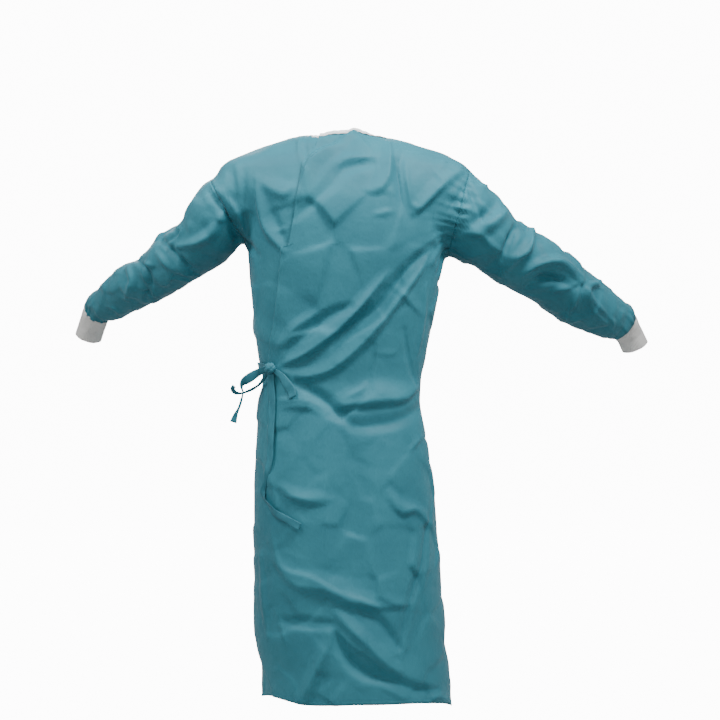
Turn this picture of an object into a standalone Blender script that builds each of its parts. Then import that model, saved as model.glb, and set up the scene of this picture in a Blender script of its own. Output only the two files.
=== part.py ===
"""A worn surgical gown: front, two overlapping backs, sleeves, knitted cuffs, neck binding and waist tie."""

import math

import bmesh
import bpy
import numpy as np

# Cloth, in metres
WALL = 0.0016
CUFF_WALL = 0.0020
SEAM = 0.0002
LAP = 0.0050
RIBBON = 0.0012
BINDING_THICK = 0.0024
BINDING_HIGH = 0.0070
BLEND = 0.032

# Rows of vertices
UPPER_ROWS = 10
LOWER_ROWS = 36
SLEEVE_ROWS = 22
CUFF_ROWS = 5
SHOULDER_COLUMNS = 4
FLAP_COLUMNS = 22
UNDER_COLUMNS = 11
FRONT_COLUMNS = 13

# The body's level sections: height, middle, half width, depth behind, depth in front, squareness
SECTIONS = np.array([
    (0.030, -0.002, 0.045, 0.036, 0.036, 2.0),
    (0.013, -0.002, 0.066, 0.048, 0.046, 2.0),
    (0.001, -0.002, 0.088, 0.058, 0.054, 2.0),
    (-0.005, -0.004, 0.116, 0.064, 0.058, 2.0),
    (-0.018, -0.008, 0.164, 0.076, 0.066, 2.0),
    (-0.035, -0.008, 0.207, 0.089, 0.075, 2.0),
    (-0.053, -0.006, 0.243, 0.099, 0.084, 2.1),
    (-0.072, -0.007, 0.263, 0.107, 0.093, 2.2),
    (-0.100, -0.009, 0.262, 0.116, 0.106, 2.3),
    (-0.150, -0.012, 0.237, 0.127, 0.126, 2.4),
    (-0.200, -0.013, 0.219, 0.130, 0.142, 2.4),
    (-0.269, -0.013, 0.213, 0.127, 0.152, 2.4),
    (-0.340, -0.010, 0.2045, 0.119, 0.153, 2.4),
    (-0.409, -0.006, 0.195, 0.111, 0.149, 2.4),
    (-0.480, -0.004, 0.1835, 0.105, 0.144, 2.4),
    (-0.530, -0.003, 0.175, 0.103, 0.141, 2.4),
    (-0.585, -0.0015, 0.1765, 0.108, 0.142, 2.4),
    (-0.655, -0.0055, 0.1835, 0.117, 0.147, 2.4),
    (-0.760, -0.010, 0.1925, 0.127, 0.155, 2.3),
    (-0.870, -0.0147, 0.199, 0.134, 0.163, 2.3),
    (-0.980, -0.020, 0.2025, 0.139, 0.171, 2.3),
    (-1.080, -0.0215, 0.2065, 0.143, 0.178, 2.2),
    (-1.170, -0.0355, 0.2065, 0.147, 0.185, 2.2),
    (-1.260, -0.0375, 0.2085, 0.150, 0.192, 2.2),
])

# The sleeves' middle lines: x, y, z, radius. The last row is the cuff's end
LEFT_ARM = np.array([
    (0.200, 0.004, -0.118, 0.066),
    (0.248, 0.000, -0.155, 0.072),
    (0.300, -0.030, -0.219, 0.066),
    (0.357, -0.070, -0.253, 0.063),
    (0.418, -0.120, -0.293, 0.055),
    (0.482, -0.180, -0.318, 0.054),
    (0.540, -0.236, -0.351, 0.043),
    (0.573, -0.268, -0.366, 0.0345),
    (0.592, -0.290, -0.396, 0.0325),
    (0.605, -0.308, -0.432, 0.0325),
])
RIGHT_ARM = np.array([
    (-0.200, 0.004, -0.110, 0.066),
    (-0.250, 0.002, -0.149, 0.078),
    (-0.309, -0.008, -0.205, 0.080),
    (-0.363, -0.030, -0.244, 0.070),
    (-0.420, -0.060, -0.270, 0.070),
    (-0.477, -0.090, -0.305, 0.066),
    (-0.537, -0.130, -0.345, 0.063),
    (-0.602, -0.172, -0.379, 0.056),
    (-0.645, -0.200, -0.398, 0.042),
    (-0.670, -0.218, -0.420, 0.0330),
    (-0.688, -0.232, -0.456, 0.0325),
])
LEFT_CUFF_LENGTH = 0.066
RIGHT_CUFF_LENGTH = 0.068
LEFT_SHOULDER_X = 0.285
RIGHT_SHOULDER_X = -0.284

# The neck edge: direction in degrees (0 is +X, 90 is +Y), height
NECK = np.array([
    (-30, -0.022), (0, 0.001), (30, -0.001), (55, -0.006), (68, -0.001), (107, 0.0035),
    (126, 0.0100), (142, 0.0050), (160, -0.0015), (180, -0.001), (210, -0.022),
    (240, -0.056), (270, -0.070), (300, -0.056), (330, -0.022), (360, 0.001), (390, -0.001),
])
NECK_START = 0.2
NECK_END = 0.8

# The outer flap's free edge above the armhole: height, x
EDGE_ABOVE = np.array([
    (-0.250, 0.108), (-0.200, 0.100), (-0.169, 0.0945), (-0.103, 0.0836), (-0.070, 0.079),
    (-0.048, 0.069), (-0.026, 0.050), (-0.004, 0.0425), (0.020, 0.0425),
])
# and below it: height, share of the way round the back from the left side
EDGE_BELOW = np.array([
    (-1.260, 0.240), (-1.230, 0.215), (-1.166, 0.140), (-1.115, 0.045), (-1.095, -0.010),
    (-1.060, -0.055), (-0.900, -0.065), (-0.700, -0.065), (-0.640, -0.050), (-0.592, 0.000),
    (-0.559, 0.090), (-0.528, 0.143), (-0.488, 0.195), (-0.378, 0.262), (-0.290, 0.286),
    (-0.240, 0.300),
])
UNDER_EDGE_NECK = 0.60
UNDER_EDGE_HEM = 0.66

# The hem: share of the way round, height
HEM = np.array([
    (-0.50, -1.250), (-0.10, -1.232), (0.00, -1.227), (0.20, -1.210), (0.35, -1.2185),
    (0.50, -1.215), (0.65, -1.216), (0.80, -1.224), (1.00, -1.247), (1.30, -1.252),
    (1.60, -1.250), (1.90, -1.232), (2.00, -1.227), (2.20, -1.210),
])


# The large folds behind. Each is a line of points in millimetres: x, z, half width, height
# (a hollow's height is below 0)
FOLDS_BEHIND = {
    "roll_from_nape": [
        (-27, 1, 14, 3), (22, -35, 20, 8), (61, -63, 20, 8), (77, -105, 20, 6), (86, -148, 20, 3),
    ],
    "hollow_over_roll": [
        (-22, -14, 12, -2), (8, -21, 16, -6), (38, -28, 14, -5),
    ],
    "hollow_below_nape": [
        (-82, -67, 14, -3), (-48, -72, 22, -8), (-12, -83, 26, -8), (18, -118, 24, -7),
        (45, -144, 20, -5), (96, -188, 16, -3),
    ],
    "right_shoulder_pleat": [
        (-107, -16, 16, 3), (-108, -60, 18, 7), (-101, -105, 18, 7), (-76, -131, 18, 5),
        (-52, -127, 14, 2),
    ],
    "right_shoulder_hollow": [
        (-137, -40, 16, -3), (-127, -93, 24, -7), (-133, -148, 24, -6), (-148, -190, 20, -3),
    ],
    "right_gather": [
        (-265, -81, 18, 4), (-216, -119, 20, 8), (-176, -159, 18, 7), (-159, -175, 14, 3),
    ],
    "left_shoulder_crest": [
        (172, -103, 18, 3), (142, -125, 20, 7), (118, -135, 20, 7), (92, -116, 16, 3),
    ],
    "left_back_roll": [
        (179, -124, 20, 4), (166, -175, 22, 8), (149, -223, 20, 7), (118, -258, 16, 3),
    ],
    "armpit_hollow": [
        (-203, -247, 18, -6), (-175, -270, 24, -12), (-138, -311, 28, -14), (-112, -347, 28, -13),
        (-78, -384, 26, -12), (-31, -413, 24, -10), (22, -452, 22, -8), (71, -490, 18, -4),
    ],
    "waist_roll": [
        (-197, -256, 14, 4), (-153, -321, 20, 9), (-119, -366, 22, 11), (-89, -405, 24, 11),
        (-48, -452, 26, 12), (-12, -486, 26, 12), (31, -514, 24, 11), (74, -524, 20, 8),
        (119, -512, 14, 3),
    ],
    "upper_waist_roll": [
        (-101, -307, 18, 3), (-61, -354, 20, 8), (-21, -401, 20, 9), (22, -439, 20, 9),
        (61, -469, 18, 7), (115, -497, 14, 4),
    ],
    "upper_waist_hollow": [
        (-23, -373, 16, -4), (20, -392, 20, -7), (61, -426, 20, -7), (110, -467, 16, -4),
    ],
    "top_waist_roll": [
        (52, -390, 16, 4), (88, -415, 20, 7), (123, -454, 16, 4),
    ],
    "blouse": [
        (-168, -549, 18, 4), (-139, -570, 26, 9), (-100, -574, 32, 12), (-57, -578, 32, 12),
        (-18, -584, 26, 9), (11, -590, 18, 4),
    ],
    "blouse_hollow": [
        (-189, -580, 18, -3), (-147, -609, 24, -7), (-87, -625, 26, -8), (-23, -624, 24, -7),
        (3, -599, 20, -8), (39, -565, 20, -8), (89, -539, 18, -6),
    ],
    "blouse_left": [
        (121, -576, 16, 3), (84, -576, 20, 7), (54, -582, 18, 6), (28, -599, 14, 3),
    ],
    "right_waist_crease": [
        (-138, -424, 12, -2), (-152, -482, 18, -6), (-166, -538, 16, -5),
    ],
    "skirt_hollow": [
        (-27, -658, 40, -6), (-31, -743, 50, -10), (-31, -848, 52, -12), (-27, -932, 44, -9),
        (-23, -978, 30, -4),
    ],
    "skirt_left_roll": [
        (121, -759, 16, 3), (88, -779, 22, 7), (49, -781, 22, 7), (20, -783, 14, 3),
    ],
    "skirt_right_roll": [
        (-104, -769, 16, 3), (-136, -804, 22, 8), (-168, -810, 20, 7), (-198, -845, 14, 3),
    ],
    "knee_shelf": [
        (136, -916, 22, 4), (94, -962, 28, 8), (28, -974, 30, 10), (-27, -999, 26, 8),
        (-82, -1008, 22, 6), (-150, -1007, 16, 3),
    ],
    "shelf_hollow": [
        (122, -1042, 16, -4), (72, -1043, 20, -6), (19, -1046, 18, -6),
    ],
    "hem_roll": [
        (7, -1020, 16, 4), (-23, -1054, 22, 11), (-61, -1090, 26, 13), (-95, -1126, 26, 12),
        (-124, -1148, 20, 6),
    ],
    "hem_hollow": [
        (11, -1054, 14, -5), (-8, -1102, 20, -11), (-42, -1140, 22, -12), (-112, -1166, 22, -11),
        (-172, -1192, 20, -8), (-211, -1196, 14, -4),
    ],
    "hem_upper_hollow": [
        (-44, -1012, 16, -4), (-86, -1046, 20, -8), (-127, -1098, 18, -6),
    ],
    "right_skirt_crease": [
        (-196, -804, 14, -3), (-175, -937, 20, -7), (-153, -1003, 20, -6), (-127, -1098, 14, -3),
    ],
    "hem_left_crest": [
        (13, -1054, 16, 3), (36, -1115, 22, 7), (64, -1182, 22, 8),
    ],
    "left_arm_slot": [
        (291, -114, 10, -4), (267, -141, 14, -9), (236, -165, 12, -6),
    ],
    "left_arm_roll": [
        (254, -175, 14, 4), (277, -213, 18, 8), (317, -233, 18, 8), (360, -238, 14, 4),
    ],
    "left_elbow_hollow": [
        (402, -215, 12, -6), (379, -245, 16, -7), (352, -272, 16, -6), (318, -289, 12, -4),
    ],
    "left_elbow_roll": [
        (405, -253, 14, 4), (376, -280, 16, 6), (342, -297, 14, 4),
    ],
    "left_forearm_hollow": [
        (470, -255, 12, -4), (435, -282, 14, -6), (427, -318, 14, -6), (443, -352, 12, -4),
    ],
    "left_forearm_roll": [
        (485, -274, 14, 4), (472, -312, 16, 6), (491, -351, 14, 4),
    ],
    "right_arm_hollow": [
        (-342, -140, 12, -4), (-320, -171, 16, -8), (-289, -191, 14, -5),
    ],
    "right_arm_roll": [
        (-369, -156, 14, 4), (-337, -190, 18, 8), (-298, -215, 16, 6),
    ],
    "right_elbow_hollow": [
        (-388, -200, 12, -7), (-365, -237, 16, -8), (-350, -267, 14, -6), (-323, -287, 12, -3),
    ],
    "right_elbow_roll": [
        (-432, -191, 14, 5), (-411, -237, 18, 8), (-379, -270, 18, 7), (-351, -300, 14, 4),
    ],
    "right_forearm_roll": [
        (-402, -301, 14, 4), (-439, -277, 18, 7), (-487, -271, 18, 7), (-541, -305, 16, 5),
    ],
    "right_forearm_hollow": [
        (-414, -328, 14, -4), (-452, -309, 16, -8), (-496, -311, 16, -6),
    ],
    "right_wrist_roll": [
        (-590, -310, 12, 4), (-550, -331, 16, 7), (-566, -371, 16, 6), (-603, -406, 14, 4),
    ],
}
# and in front
FOLDS_FRONT = {
    "chest_left": [(130, -150, 18, 3), (105, -240, 26, 7), (80, -350, 28, 7), (70, -450, 20, 3)],
    "chest_right": [(-150, -150, 18, 3), (-120, -250, 26, 7), (-95, -340, 26, 6), (-90, -430, 20, 3)],
    "chest_hollow": [(15, -130, 20, -3), (5, -240, 34, -7), (-5, -340, 34, -6), (-5, -430, 20, -3)],
    "waist_front": [
        (150, -500, 18, 3), (80, -520, 28, 9), (-20, -530, 30, 10), (-110, -515, 26, 8), (-155, -495, 18, 3)],
    "waist_front_hollow": [
        (140, -530, 16, -3), (70, -556, 24, -7), (-20, -566, 26, -8), (-120, -548, 20, -5)],
    "fall_left": [(85, -640, 26, 3), (98, -860, 40, 9), (106, -1060, 44, 10), (110, -1235, 44, 10)],
    "fall_middle": [(0, -620, 26, -3), (-10, -860, 42, -9), (-18, -1060, 46, -10), (-20, -1240, 46, -10)],
    "fall_right": [(-90, -640, 26, 3), (-105, -860, 38, 8), (-122, -1060, 42, 9), (-135, -1235, 42, 9)],
    "left_sleeve": [(330, -205, 14, 4), (350, -235, 18, 7), (345, -275, 14, 4)],
    "left_forearm": [(440, -275, 12, 3), (450, -300, 16, 6), (440, -330, 12, 3)],
    "right_sleeve": [(-345, -190, 14, 4), (-372, -228, 18, 8), (-368, -275, 14, 4)],
    "right_forearm": [(-480, -265, 14, 4), (-500, -300, 18, 7), (-495, -345, 14, 4)],
}
DEEPEST = 0.015
UNDER_DROP = 0.012

# The waist tie. Ribbon rows lying on the flap: x, z, gap to it, width, turn in degrees. The rest is in
# millimetres
KNOT_BASE = (0.140, -0.504)
KNOT_HALF = (0.0135, 0.0100, 0.0125)
LONG_TAIL = [
    (18, 0), (141, -536, 7, 20, 0), (140, -575, 5, 20, 0), (141, -624, 5, 19, 0),
    (142, -670, 5, 18, 0), (142, -700, 5, 17, 0), (145, -726, 5, 13, 15), (151, -750, 6, 10, 35),
    (156, -772, 7, 12, 20), (154, -785, 7, 10, -20), (146, -796, 7, 9, -35), (134, -812, 7, 14, -10),
    (108, -827, 7, 16, 0), (80, -842, 7, 15, 0),
]
SHORT_END = [
    (10, 0), (119, -522, 8, 15, 10), (108, -540, 7, 20, 0), (100, -555, 6, 21, -10),
    (96, -569, 6, 19, -15),
]
# Ribbon rows in the air: x, y, z, width, turn. A ribbon's first row, width and turn, is at the knot
BOW = [
    (12, 0), (178, 62, -516, 17, 10), (194, 62, -526, 20, 5), (207, 60, -536, 17, 20),
    (212, 56, -546, 9, 60), (209, 55, -557, 7, 65), (212, 56, -573, 7, 60), (218, 58, -592, 8, 50),
    (225, 60, -607, 11, 30), (230, 62, -623, 15, 10),
]
CURL = [
    (8, 0), (179, 46, -545, 8, 50), (199, 42, -556, 8, 55), (218, 40, -561, 8, 50),
    (229, 40, -558, 10, 30), (233, 43, -550, 10, 10), (229, 47, -544, 9, 0),
]
KNOT_GAP = 0.0005
STRAP_SHARES = (-0.16, -0.11, -0.06, -0.02, 0.02, 0.05, 0.08)
STRAP_HEIGHT = -0.503
STRAP_WIDE = 0.021


def spline(xs, ys, x):
    """A smooth curve through a table's points, with no waves between them."""
    order = np.argsort(xs)
    xs = np.asarray(xs, float)[order]
    ys = np.asarray(ys, float)[order]
    x = np.clip(x, xs[0], xs[-1])
    step = np.diff(xs)
    slope = np.diff(ys) / step
    same = slope[1:] * slope[:-1] > 0
    inner = np.where(same, 2 * slope[1:] * slope[:-1] / np.where(same, slope[1:] + slope[:-1], 1), 0)
    m = np.concatenate([slope[:1], inner, slope[-1:]])
    i = np.clip(np.searchsorted(xs, x) - 1, 0, len(step) - 1)
    h = step[i]
    t = (x - xs[i]) / h
    a = (1 + 2 * t) * (1 - t) ** 2 * ys[i] + t * (1 - t) ** 2 * h * m[i]
    return a + t * t * (3 - 2 * t) * ys[i + 1] + t * t * (t - 1) * h * m[i + 1]


def section(z):
    return [spline(SECTIONS[:, 0], SECTIONS[:, k], z) for k in range(1, 6)]


def unit(v):
    return v / np.maximum(np.linalg.norm(v, axis=-1, keepdims=True), 1e-12)


def ease(t):
    t = np.clip(t, 0, 1)
    return t * t * (3 - 2 * t)


def distances(line):
    """How far along a line of points each one lies."""
    return np.concatenate([[0], np.cumsum(np.linalg.norm(np.diff(line[:, :3], axis=0), axis=1))])


# Each arm as short cone frusta along a smooth line
def smooth_arm(rows, count=22):
    at = distances(rows)
    fine = np.linspace(0, at[-1], count)
    tangent = np.gradient(rows, at, axis=0)
    i = np.clip(np.searchsorted(at, fine) - 1, 0, len(at) - 2)
    h = (at[i + 1] - at[i])[:, None]
    t = (fine - at[i])[:, None] / h
    a = (1 + 2 * t) * (1 - t) ** 2 * rows[i] + t * (1 - t) ** 2 * h * tangent[i]
    return a + t * t * (3 - 2 * t) * rows[i + 1] + t * t * (t - 1) * h * tangent[i + 1]


LEFT_LINE = smooth_arm(LEFT_ARM)
RIGHT_LINE = smooth_arm(RIGHT_ARM)


def arm_field(p, line):
    """How far each point lies outside the arm's skin."""
    best = np.full(len(p), 9.0)
    for a, b in zip(line[:-1], line[1:]):
        along = b[:3] - a[:3]
        t = np.clip((p - a[:3]) @ along / (along @ along), 0, 1)
        away = np.linalg.norm(p - a[:3] - t[:, None] * along, axis=1)
        best = np.minimum(best, away - (a[3] + t * (b[3] - a[3])))
    return best


def body_radius(p):
    cx, half, back, front, square = section(p[:, 2])
    x = p[:, 0] - cx
    y = p[:, 1]
    rho = np.maximum(np.hypot(x, y), 1e-6)
    deep = np.where(y > 0, back, front)
    share = (np.abs(x / half) ** square + np.abs(y / deep) ** square) ** (1 / square)
    return rho, rho / np.maximum(share, 1e-6)


def body_field(p):
    rho, skin = body_radius(p)
    lift = np.array([0, 0, 0.002])
    slope = (body_radius(p + lift)[1] - body_radius(p - lift)[1]) / 0.004
    return (rho - skin) / np.sqrt(1 + np.clip(slope, -4, 4) ** 2)


def joined(a, b, blend):
    h = np.maximum(blend - np.abs(a - b), 0) / blend
    return np.minimum(a, b) - h * h * blend / 4


def field(p):
    arms = np.minimum(arm_field(p, LEFT_LINE), arm_field(p, RIGHT_LINE))
    return joined(body_field(p), arms, BLEND)


def slope_of(p):
    step = 0.0015
    parts = []
    for axis in np.eye(3) * step:
        parts.append((field(p + axis) - field(p - axis)) / (2 * step))
    return np.stack(parts, axis=1)


def snap(p, rounds=5):
    """The points moved onto the gown's skin."""
    p = p.copy()
    for _ in range(rounds):
        g = slope_of(p)
        p -= np.clip(field(p), -0.03, 0.03)[:, None] * g / np.maximum((g * g).sum(axis=1), 0.2)[:, None]
    return p


def crossing(start, way, reach):
    """Where lines from inside first leave the skin."""
    start = np.broadcast_to(start, way.shape)
    far = np.linspace(0, reach, 33)
    values = np.stack([field(start + way * r) for r in far])
    first = np.argmax(values > 0, axis=0)
    first = np.where(values.max(axis=0) > 0, np.maximum(first, 1), len(far) - 1)
    low = far[first - 1]
    high = far[first]
    for _ in range(16):
        middle = (low + high) / 2
        inside = field(start + way * middle[:, None]) <= 0
        low = np.where(inside, middle, low)
        high = np.where(inside, high, middle)
    return start + way * ((low + high) / 2)[:, None]


def crest(x):
    """The top of the shoulders at each distance from the middle."""
    x = np.atleast_1d(x)
    start = np.stack([x, np.zeros_like(x), np.full_like(x, -0.160)], axis=1)
    return crossing(start, np.tile([0, 0, 1.0], (len(x), 1)), 0.20)


def neck(degrees):
    degrees = np.atleast_1d(np.asarray(degrees, float)) % 360
    z = spline(NECK[:, 0], NECK[:, 1], degrees)
    angle = np.radians(degrees)
    start = np.stack([np.full_like(z, -0.002), np.zeros_like(z), z], axis=1)
    way = np.stack([np.cos(angle), np.sin(angle), np.zeros_like(z)], axis=1)
    return crossing(start, way, 0.16)


def hem_height(u):
    return spline(HEM[:, 0], HEM[:, 1], u)


def underarm_height(u):
    return -0.242 - 0.007 * np.cos(np.pi * u)


def lower(u, v):
    """A point below the arms: u is the way round (0 left, 0.5 back, 1 right), v -1 hem to 0 underarm."""
    u = np.asarray(u, float)
    shape = u.shape
    v = np.broadcast_to(v, shape).reshape(-1)
    u = u.reshape(-1)
    z = (1 + v) * underarm_height(u) - v * hem_height(u)
    cx, half, back, front, square = section(z)
    c = np.cos(np.pi * u)
    s = np.sin(np.pi * u)
    out = (np.abs(c) ** square + np.abs(s) ** square) ** (-1 / square)
    deep = np.where(s > 0, back, front)
    return snap(np.stack([cx + half * c * out, deep * s * out, z], axis=1)).reshape(*shape, 3)


class Armhole:
    """The seam round one arm: 0 degrees under it, 90 behind, 180 on the shoulder."""

    def __init__(self, bottom, top):
        self.middle = (bottom + top) / 2
        self.half = np.linalg.norm(top - bottom) / 2
        self.up = unit(top - bottom)
        self.back = np.array([0, 1.0, 0])
        self.back = unit(self.back - (self.back @ self.up) * self.up)

    def at(self, degrees):
        a = np.radians(np.atleast_1d(degrees))[:, None]
        way = -np.cos(a) * self.up + np.sin(a) * self.back
        return crossing(self.middle, way, 0.20)


UNDERARM = lower(np.array([0.0, 1.0]), 0.0)
SHOULDERS = crest(np.array([LEFT_SHOULDER_X, RIGHT_SHOULDER_X]))
LEFT_HOLE = Armhole(UNDERARM[0], SHOULDERS[0])
RIGHT_HOLE = Armhole(UNDERARM[1], SHOULDERS[1])


def top_edge(u, behind):
    """The shoulder seams and the neck edge between them, u 0 at the left armhole to 1 at the right."""
    left, right = neck([0.0, 180.0])
    turn = 180 * np.clip((u - NECK_START) / (NECK_END - NECK_START), 0, 1)
    points = neck(turn if behind else 360 - turn)
    on_left = u < NECK_START
    on_right = u > NECK_END
    reach = LEFT_SHOULDER_X + (left[0] - LEFT_SHOULDER_X) * u[on_left] / NECK_START
    points[on_left] = crest(reach)
    reach = RIGHT_SHOULDER_X + (right[0] - RIGHT_SHOULDER_X) * (1 - u[on_right]) / (1 - NECK_END)
    points[on_right] = crest(reach)
    return points


def upper(u, v, behind):
    """A panel above the arms, as a patch between its four edges: a grid, v 0 underarm to 1 shoulder."""
    floor = lower(u if behind else 2 - u, 0.0)
    top = top_edge(u, behind)
    turn = 180 * v if behind else 360 - 180 * v
    left = LEFT_HOLE.at(turn)
    right = RIGHT_HOLE.at(turn)
    a = u[None, :, None]
    b = v[:, None, None]
    grid = (1 - b) * floor[None] + b * top[None] + (1 - a) * left[:, None] + a * right[:, None]
    grid -= (1 - b) * ((1 - a) * left[0] + a * right[0]) + b * ((1 - a) * left[-1] + a * right[-1])
    inside = snap(grid.reshape(-1, 3)).reshape(grid.shape)
    inside[0] = floor
    inside[-1] = top
    inside[:, 0] = left
    inside[:, -1] = right
    return inside


def along_row(points, share, wanted):
    """Points of one row at the wanted shares."""
    return np.stack([np.interp(wanted, share, points[:, k]) for k in range(3)], axis=1)


LOWER_V = np.linspace(-1, 0, LOWER_ROWS)
UPPER_V = np.linspace(0, 1, UPPER_ROWS)
SHOULDER_U = np.linspace(0, NECK_START, SHOULDER_COLUMNS)


def laid(x, z, side):
    """The gown's points met from behind (side 1) or in front (side -1) at x and z."""
    x = np.asarray(x, float)
    near = np.linspace(0.26, -0.42, 137)
    values = []
    for y in near:
        values.append(field(np.stack([x, np.full_like(x, side * y), np.asarray(z, float)], axis=1)))
    first = np.maximum(np.argmax(np.array(values) < 0, axis=0), 1)
    out = near[first - 1]
    inside = near[first]
    for _ in range(14):
        middle = (out + inside) / 2
        hit = field(np.stack([x, side * middle, z], axis=1)) < 0
        inside = np.where(hit, middle, inside)
        out = np.where(hit, out, middle)
    return np.stack([x, side * (out + inside) / 2, z], axis=1)


def fold_lines():
    """Every fold as points on the gown with half widths and heights."""
    lines = []
    for table, side in ((FOLDS_BEHIND, 1), (FOLDS_FRONT, -1)):
        for rows in table.values():
            rows = np.array(rows) / 1000
            rows[:, 2] = np.maximum(rows[:, 2], np.where(np.abs(rows[:, 0]) < 0.25, 0.030, 0.022))
            lines.append(np.hstack([laid(rows[:, 0], rows[:, 1], side), rows[:, 2:]]))
    return lines


FOLD_LINES = fold_lines()


def folds(p):
    """How far the folds lift or sink each point."""
    total = np.zeros(len(p))
    for line in FOLD_LINES:
        up = np.zeros(len(p))
        down = np.zeros(len(p))
        for a, b in zip(line[:-1], line[1:]):
            along = b[:3] - a[:3]
            t = np.clip((p - a[:3]) @ along / (along @ along), 0, 1)
            away = np.linalg.norm(p - a[:3] - t[:, None] * along, axis=1)
            half = a[3] + t * (b[3] - a[3])
            bump = (a[4] + t * (b[4] - a[4])) * np.clip(1 - (away / half) ** 2, 0, 1) ** 2
            up = np.maximum(up, bump)
            down = np.minimum(down, bump)
        total += up + down
    return np.clip(total, -DEEPEST, DEEPEST)


def skins(base, out, wall, folded=1.0):
    """A grid's two skins from its points on the gown: out is how far its outer skin lies off them."""
    flat = base.reshape(-1, 3)
    normal = unit(slope_of(flat))
    share = np.broadcast_to(folded, base.shape[:-1]).reshape(-1)
    lift = folds(flat) * share + np.broadcast_to(out, base.shape[:-1]).reshape(-1)
    outer = flat + normal * lift[:, None]
    inner = outer - normal * wall
    return outer.reshape(base.shape), inner.reshape(base.shape)


def pulled(grid, sides):
    """The grid with the named edges drawn back by half a seam's gap."""
    grid = grid.copy()
    first = grid.copy()
    for side in sides:
        if side == "first_row":
            grid[0] += SEAM * unit(first[1] - first[0])
        elif side == "last_row":
            grid[-1] += SEAM * unit(first[-2] - first[-1])
        elif side == "first_column":
            grid[:, 0] += SEAM * unit(first[:, 1] - first[:, 0])
        elif side == "last_column":
            grid[:, -1] += SEAM * unit(first[:, -2] - first[:, -1])
    return grid


def material(name, colour, rough):
    made = bpy.data.materials.new(name)
    made.use_nodes = True
    shader = made.node_tree.nodes["Principled BSDF"]
    shader.inputs["Base Color"].default_value = (*colour, 1)
    shader.inputs["Roughness"].default_value = rough
    return made


COLLECTION = None


def body_of(name, vertices, faces, colour, rough=0.7):
    mesh = bpy.data.meshes.new(name)
    mesh.from_pydata([tuple(map(float, v)) for v in vertices], [], faces)
    shape = bmesh.new()
    shape.from_mesh(mesh)
    bmesh.ops.triangulate(shape, faces=shape.faces)
    bmesh.ops.recalc_face_normals(shape, faces=shape.faces)
    shape.to_mesh(mesh)
    shape.free()
    made = bpy.data.objects.new(name, mesh)
    mesh.materials.append(material(name, colour, rough))
    COLLECTION.objects.link(made)
    return made


def sheet_body(name, outer, inner, colour, ring=False):
    """A closed wall between two grids of points, with a rim round it. A ring's columns close up."""
    rows, columns = outer.shape[:2]
    vertices = np.concatenate([outer.reshape(-1, 3), inner.reshape(-1, 3)])
    count = rows * columns
    faces = []
    last = columns if ring else columns - 1
    for i in range(rows - 1):
        for j in range(last):
            k = (j + 1) % columns
            a = i * columns + j
            b = i * columns + k
            c = (i + 1) * columns + k
            d = (i + 1) * columns + j
            faces.append((a, b, c, d))
            faces.append((d + count, c + count, b + count, a + count))
    edge = []
    for j in range(last):
        k = (j + 1) % columns
        edge.append((j, k))
        edge.append(((rows - 1) * columns + k, (rows - 1) * columns + j))
    if not ring:
        for i in range(rows - 1):
            edge.append(((i + 1) * columns, i * columns))
            edge.append((i * columns + columns - 1, (i + 1) * columns + columns - 1))
    for a, b in edge:
        faces.append((b, a, a + count, b + count))
    return body_of(name, vertices, faces, colour)


TEAL = (0.075, 0.27, 0.31)
WHITE = (0.72, 0.74, 0.74)


def lap(u):
    """How far the outer flap stands off the gown's skin."""
    return LAP * ease((NECK_END - np.asarray(u)) / 0.35)


def flap_edge(z):
    return spline(EDGE_BELOW[:, 0], EDGE_BELOW[:, 1], z)


def row_edge(u, row):
    """Where a row above the arms meets the outer flap's free edge."""
    ahead = row[:, 0] - spline(EDGE_ABOVE[:, 0], EDGE_ABOVE[:, 1], row[:, 2])
    passed = np.argmax(ahead < 0)
    low = ahead[passed - 1]
    high = ahead[passed]
    return u[passed - 1] + (u[passed] - u[passed - 1]) * low / (low - high)


def under_edge(v):
    return UNDER_EDGE_NECK + (UNDER_EDGE_HEM - UNDER_EDGE_NECK) * (1 - v) / 2


def panel_grid(starts, ends, count, behind, fixed_start=None, fixed_end=None):
    """A panel's points and their shares, row by row, from the hem to the shoulder."""
    shares = []
    for start, end in zip(starts, ends):
        low = start if fixed_start is None else fixed_start[-1]
        high = end if fixed_end is None else fixed_end[0]
        middle = np.linspace(low, high, count)
        parts = [middle]
        if fixed_start is not None:
            parts.insert(0, fixed_start[:-1])
        if fixed_end is not None:
            parts.append(fixed_end[1:])
        shares.append(np.concatenate(parts))
    shares = np.array(shares)
    below = list(lower(shares[:LOWER_ROWS], LOWER_V[:, None]))
    fine = np.unique(np.concatenate([np.linspace(0, 1, 49), SHOULDER_U, 1 - SHOULDER_U]))
    patch = upper(fine, UPPER_V, behind)
    above = []
    for row, u, v in zip(patch[1:], shares[LOWER_ROWS:], UPPER_V[1:]):
        place = u if behind else 2 - u
        points = along_row(row, fine, place)
        if v < 1:
            points = snap(points, 4)
            points[place <= 0] = row[0]
            points[place >= 1] = row[-1]
        above.append(points)
    return np.array(below + above), shares


def back_starts():
    """The outer flap's free edge, as a share of the way round for each row."""
    low = []
    for v in LOWER_V:
        u = 0.2
        for _ in range(12):
            z = (1 + v) * underarm_height(u) - v * hem_height(u)
            u = float(flap_edge(z))
        low.append(u)
    fine = np.linspace(0, 1, 121)
    patch = upper(fine, UPPER_V, True)
    for row in patch[1:]:
        low.append(row_edge(fine, row))
    return np.array(low)


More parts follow.
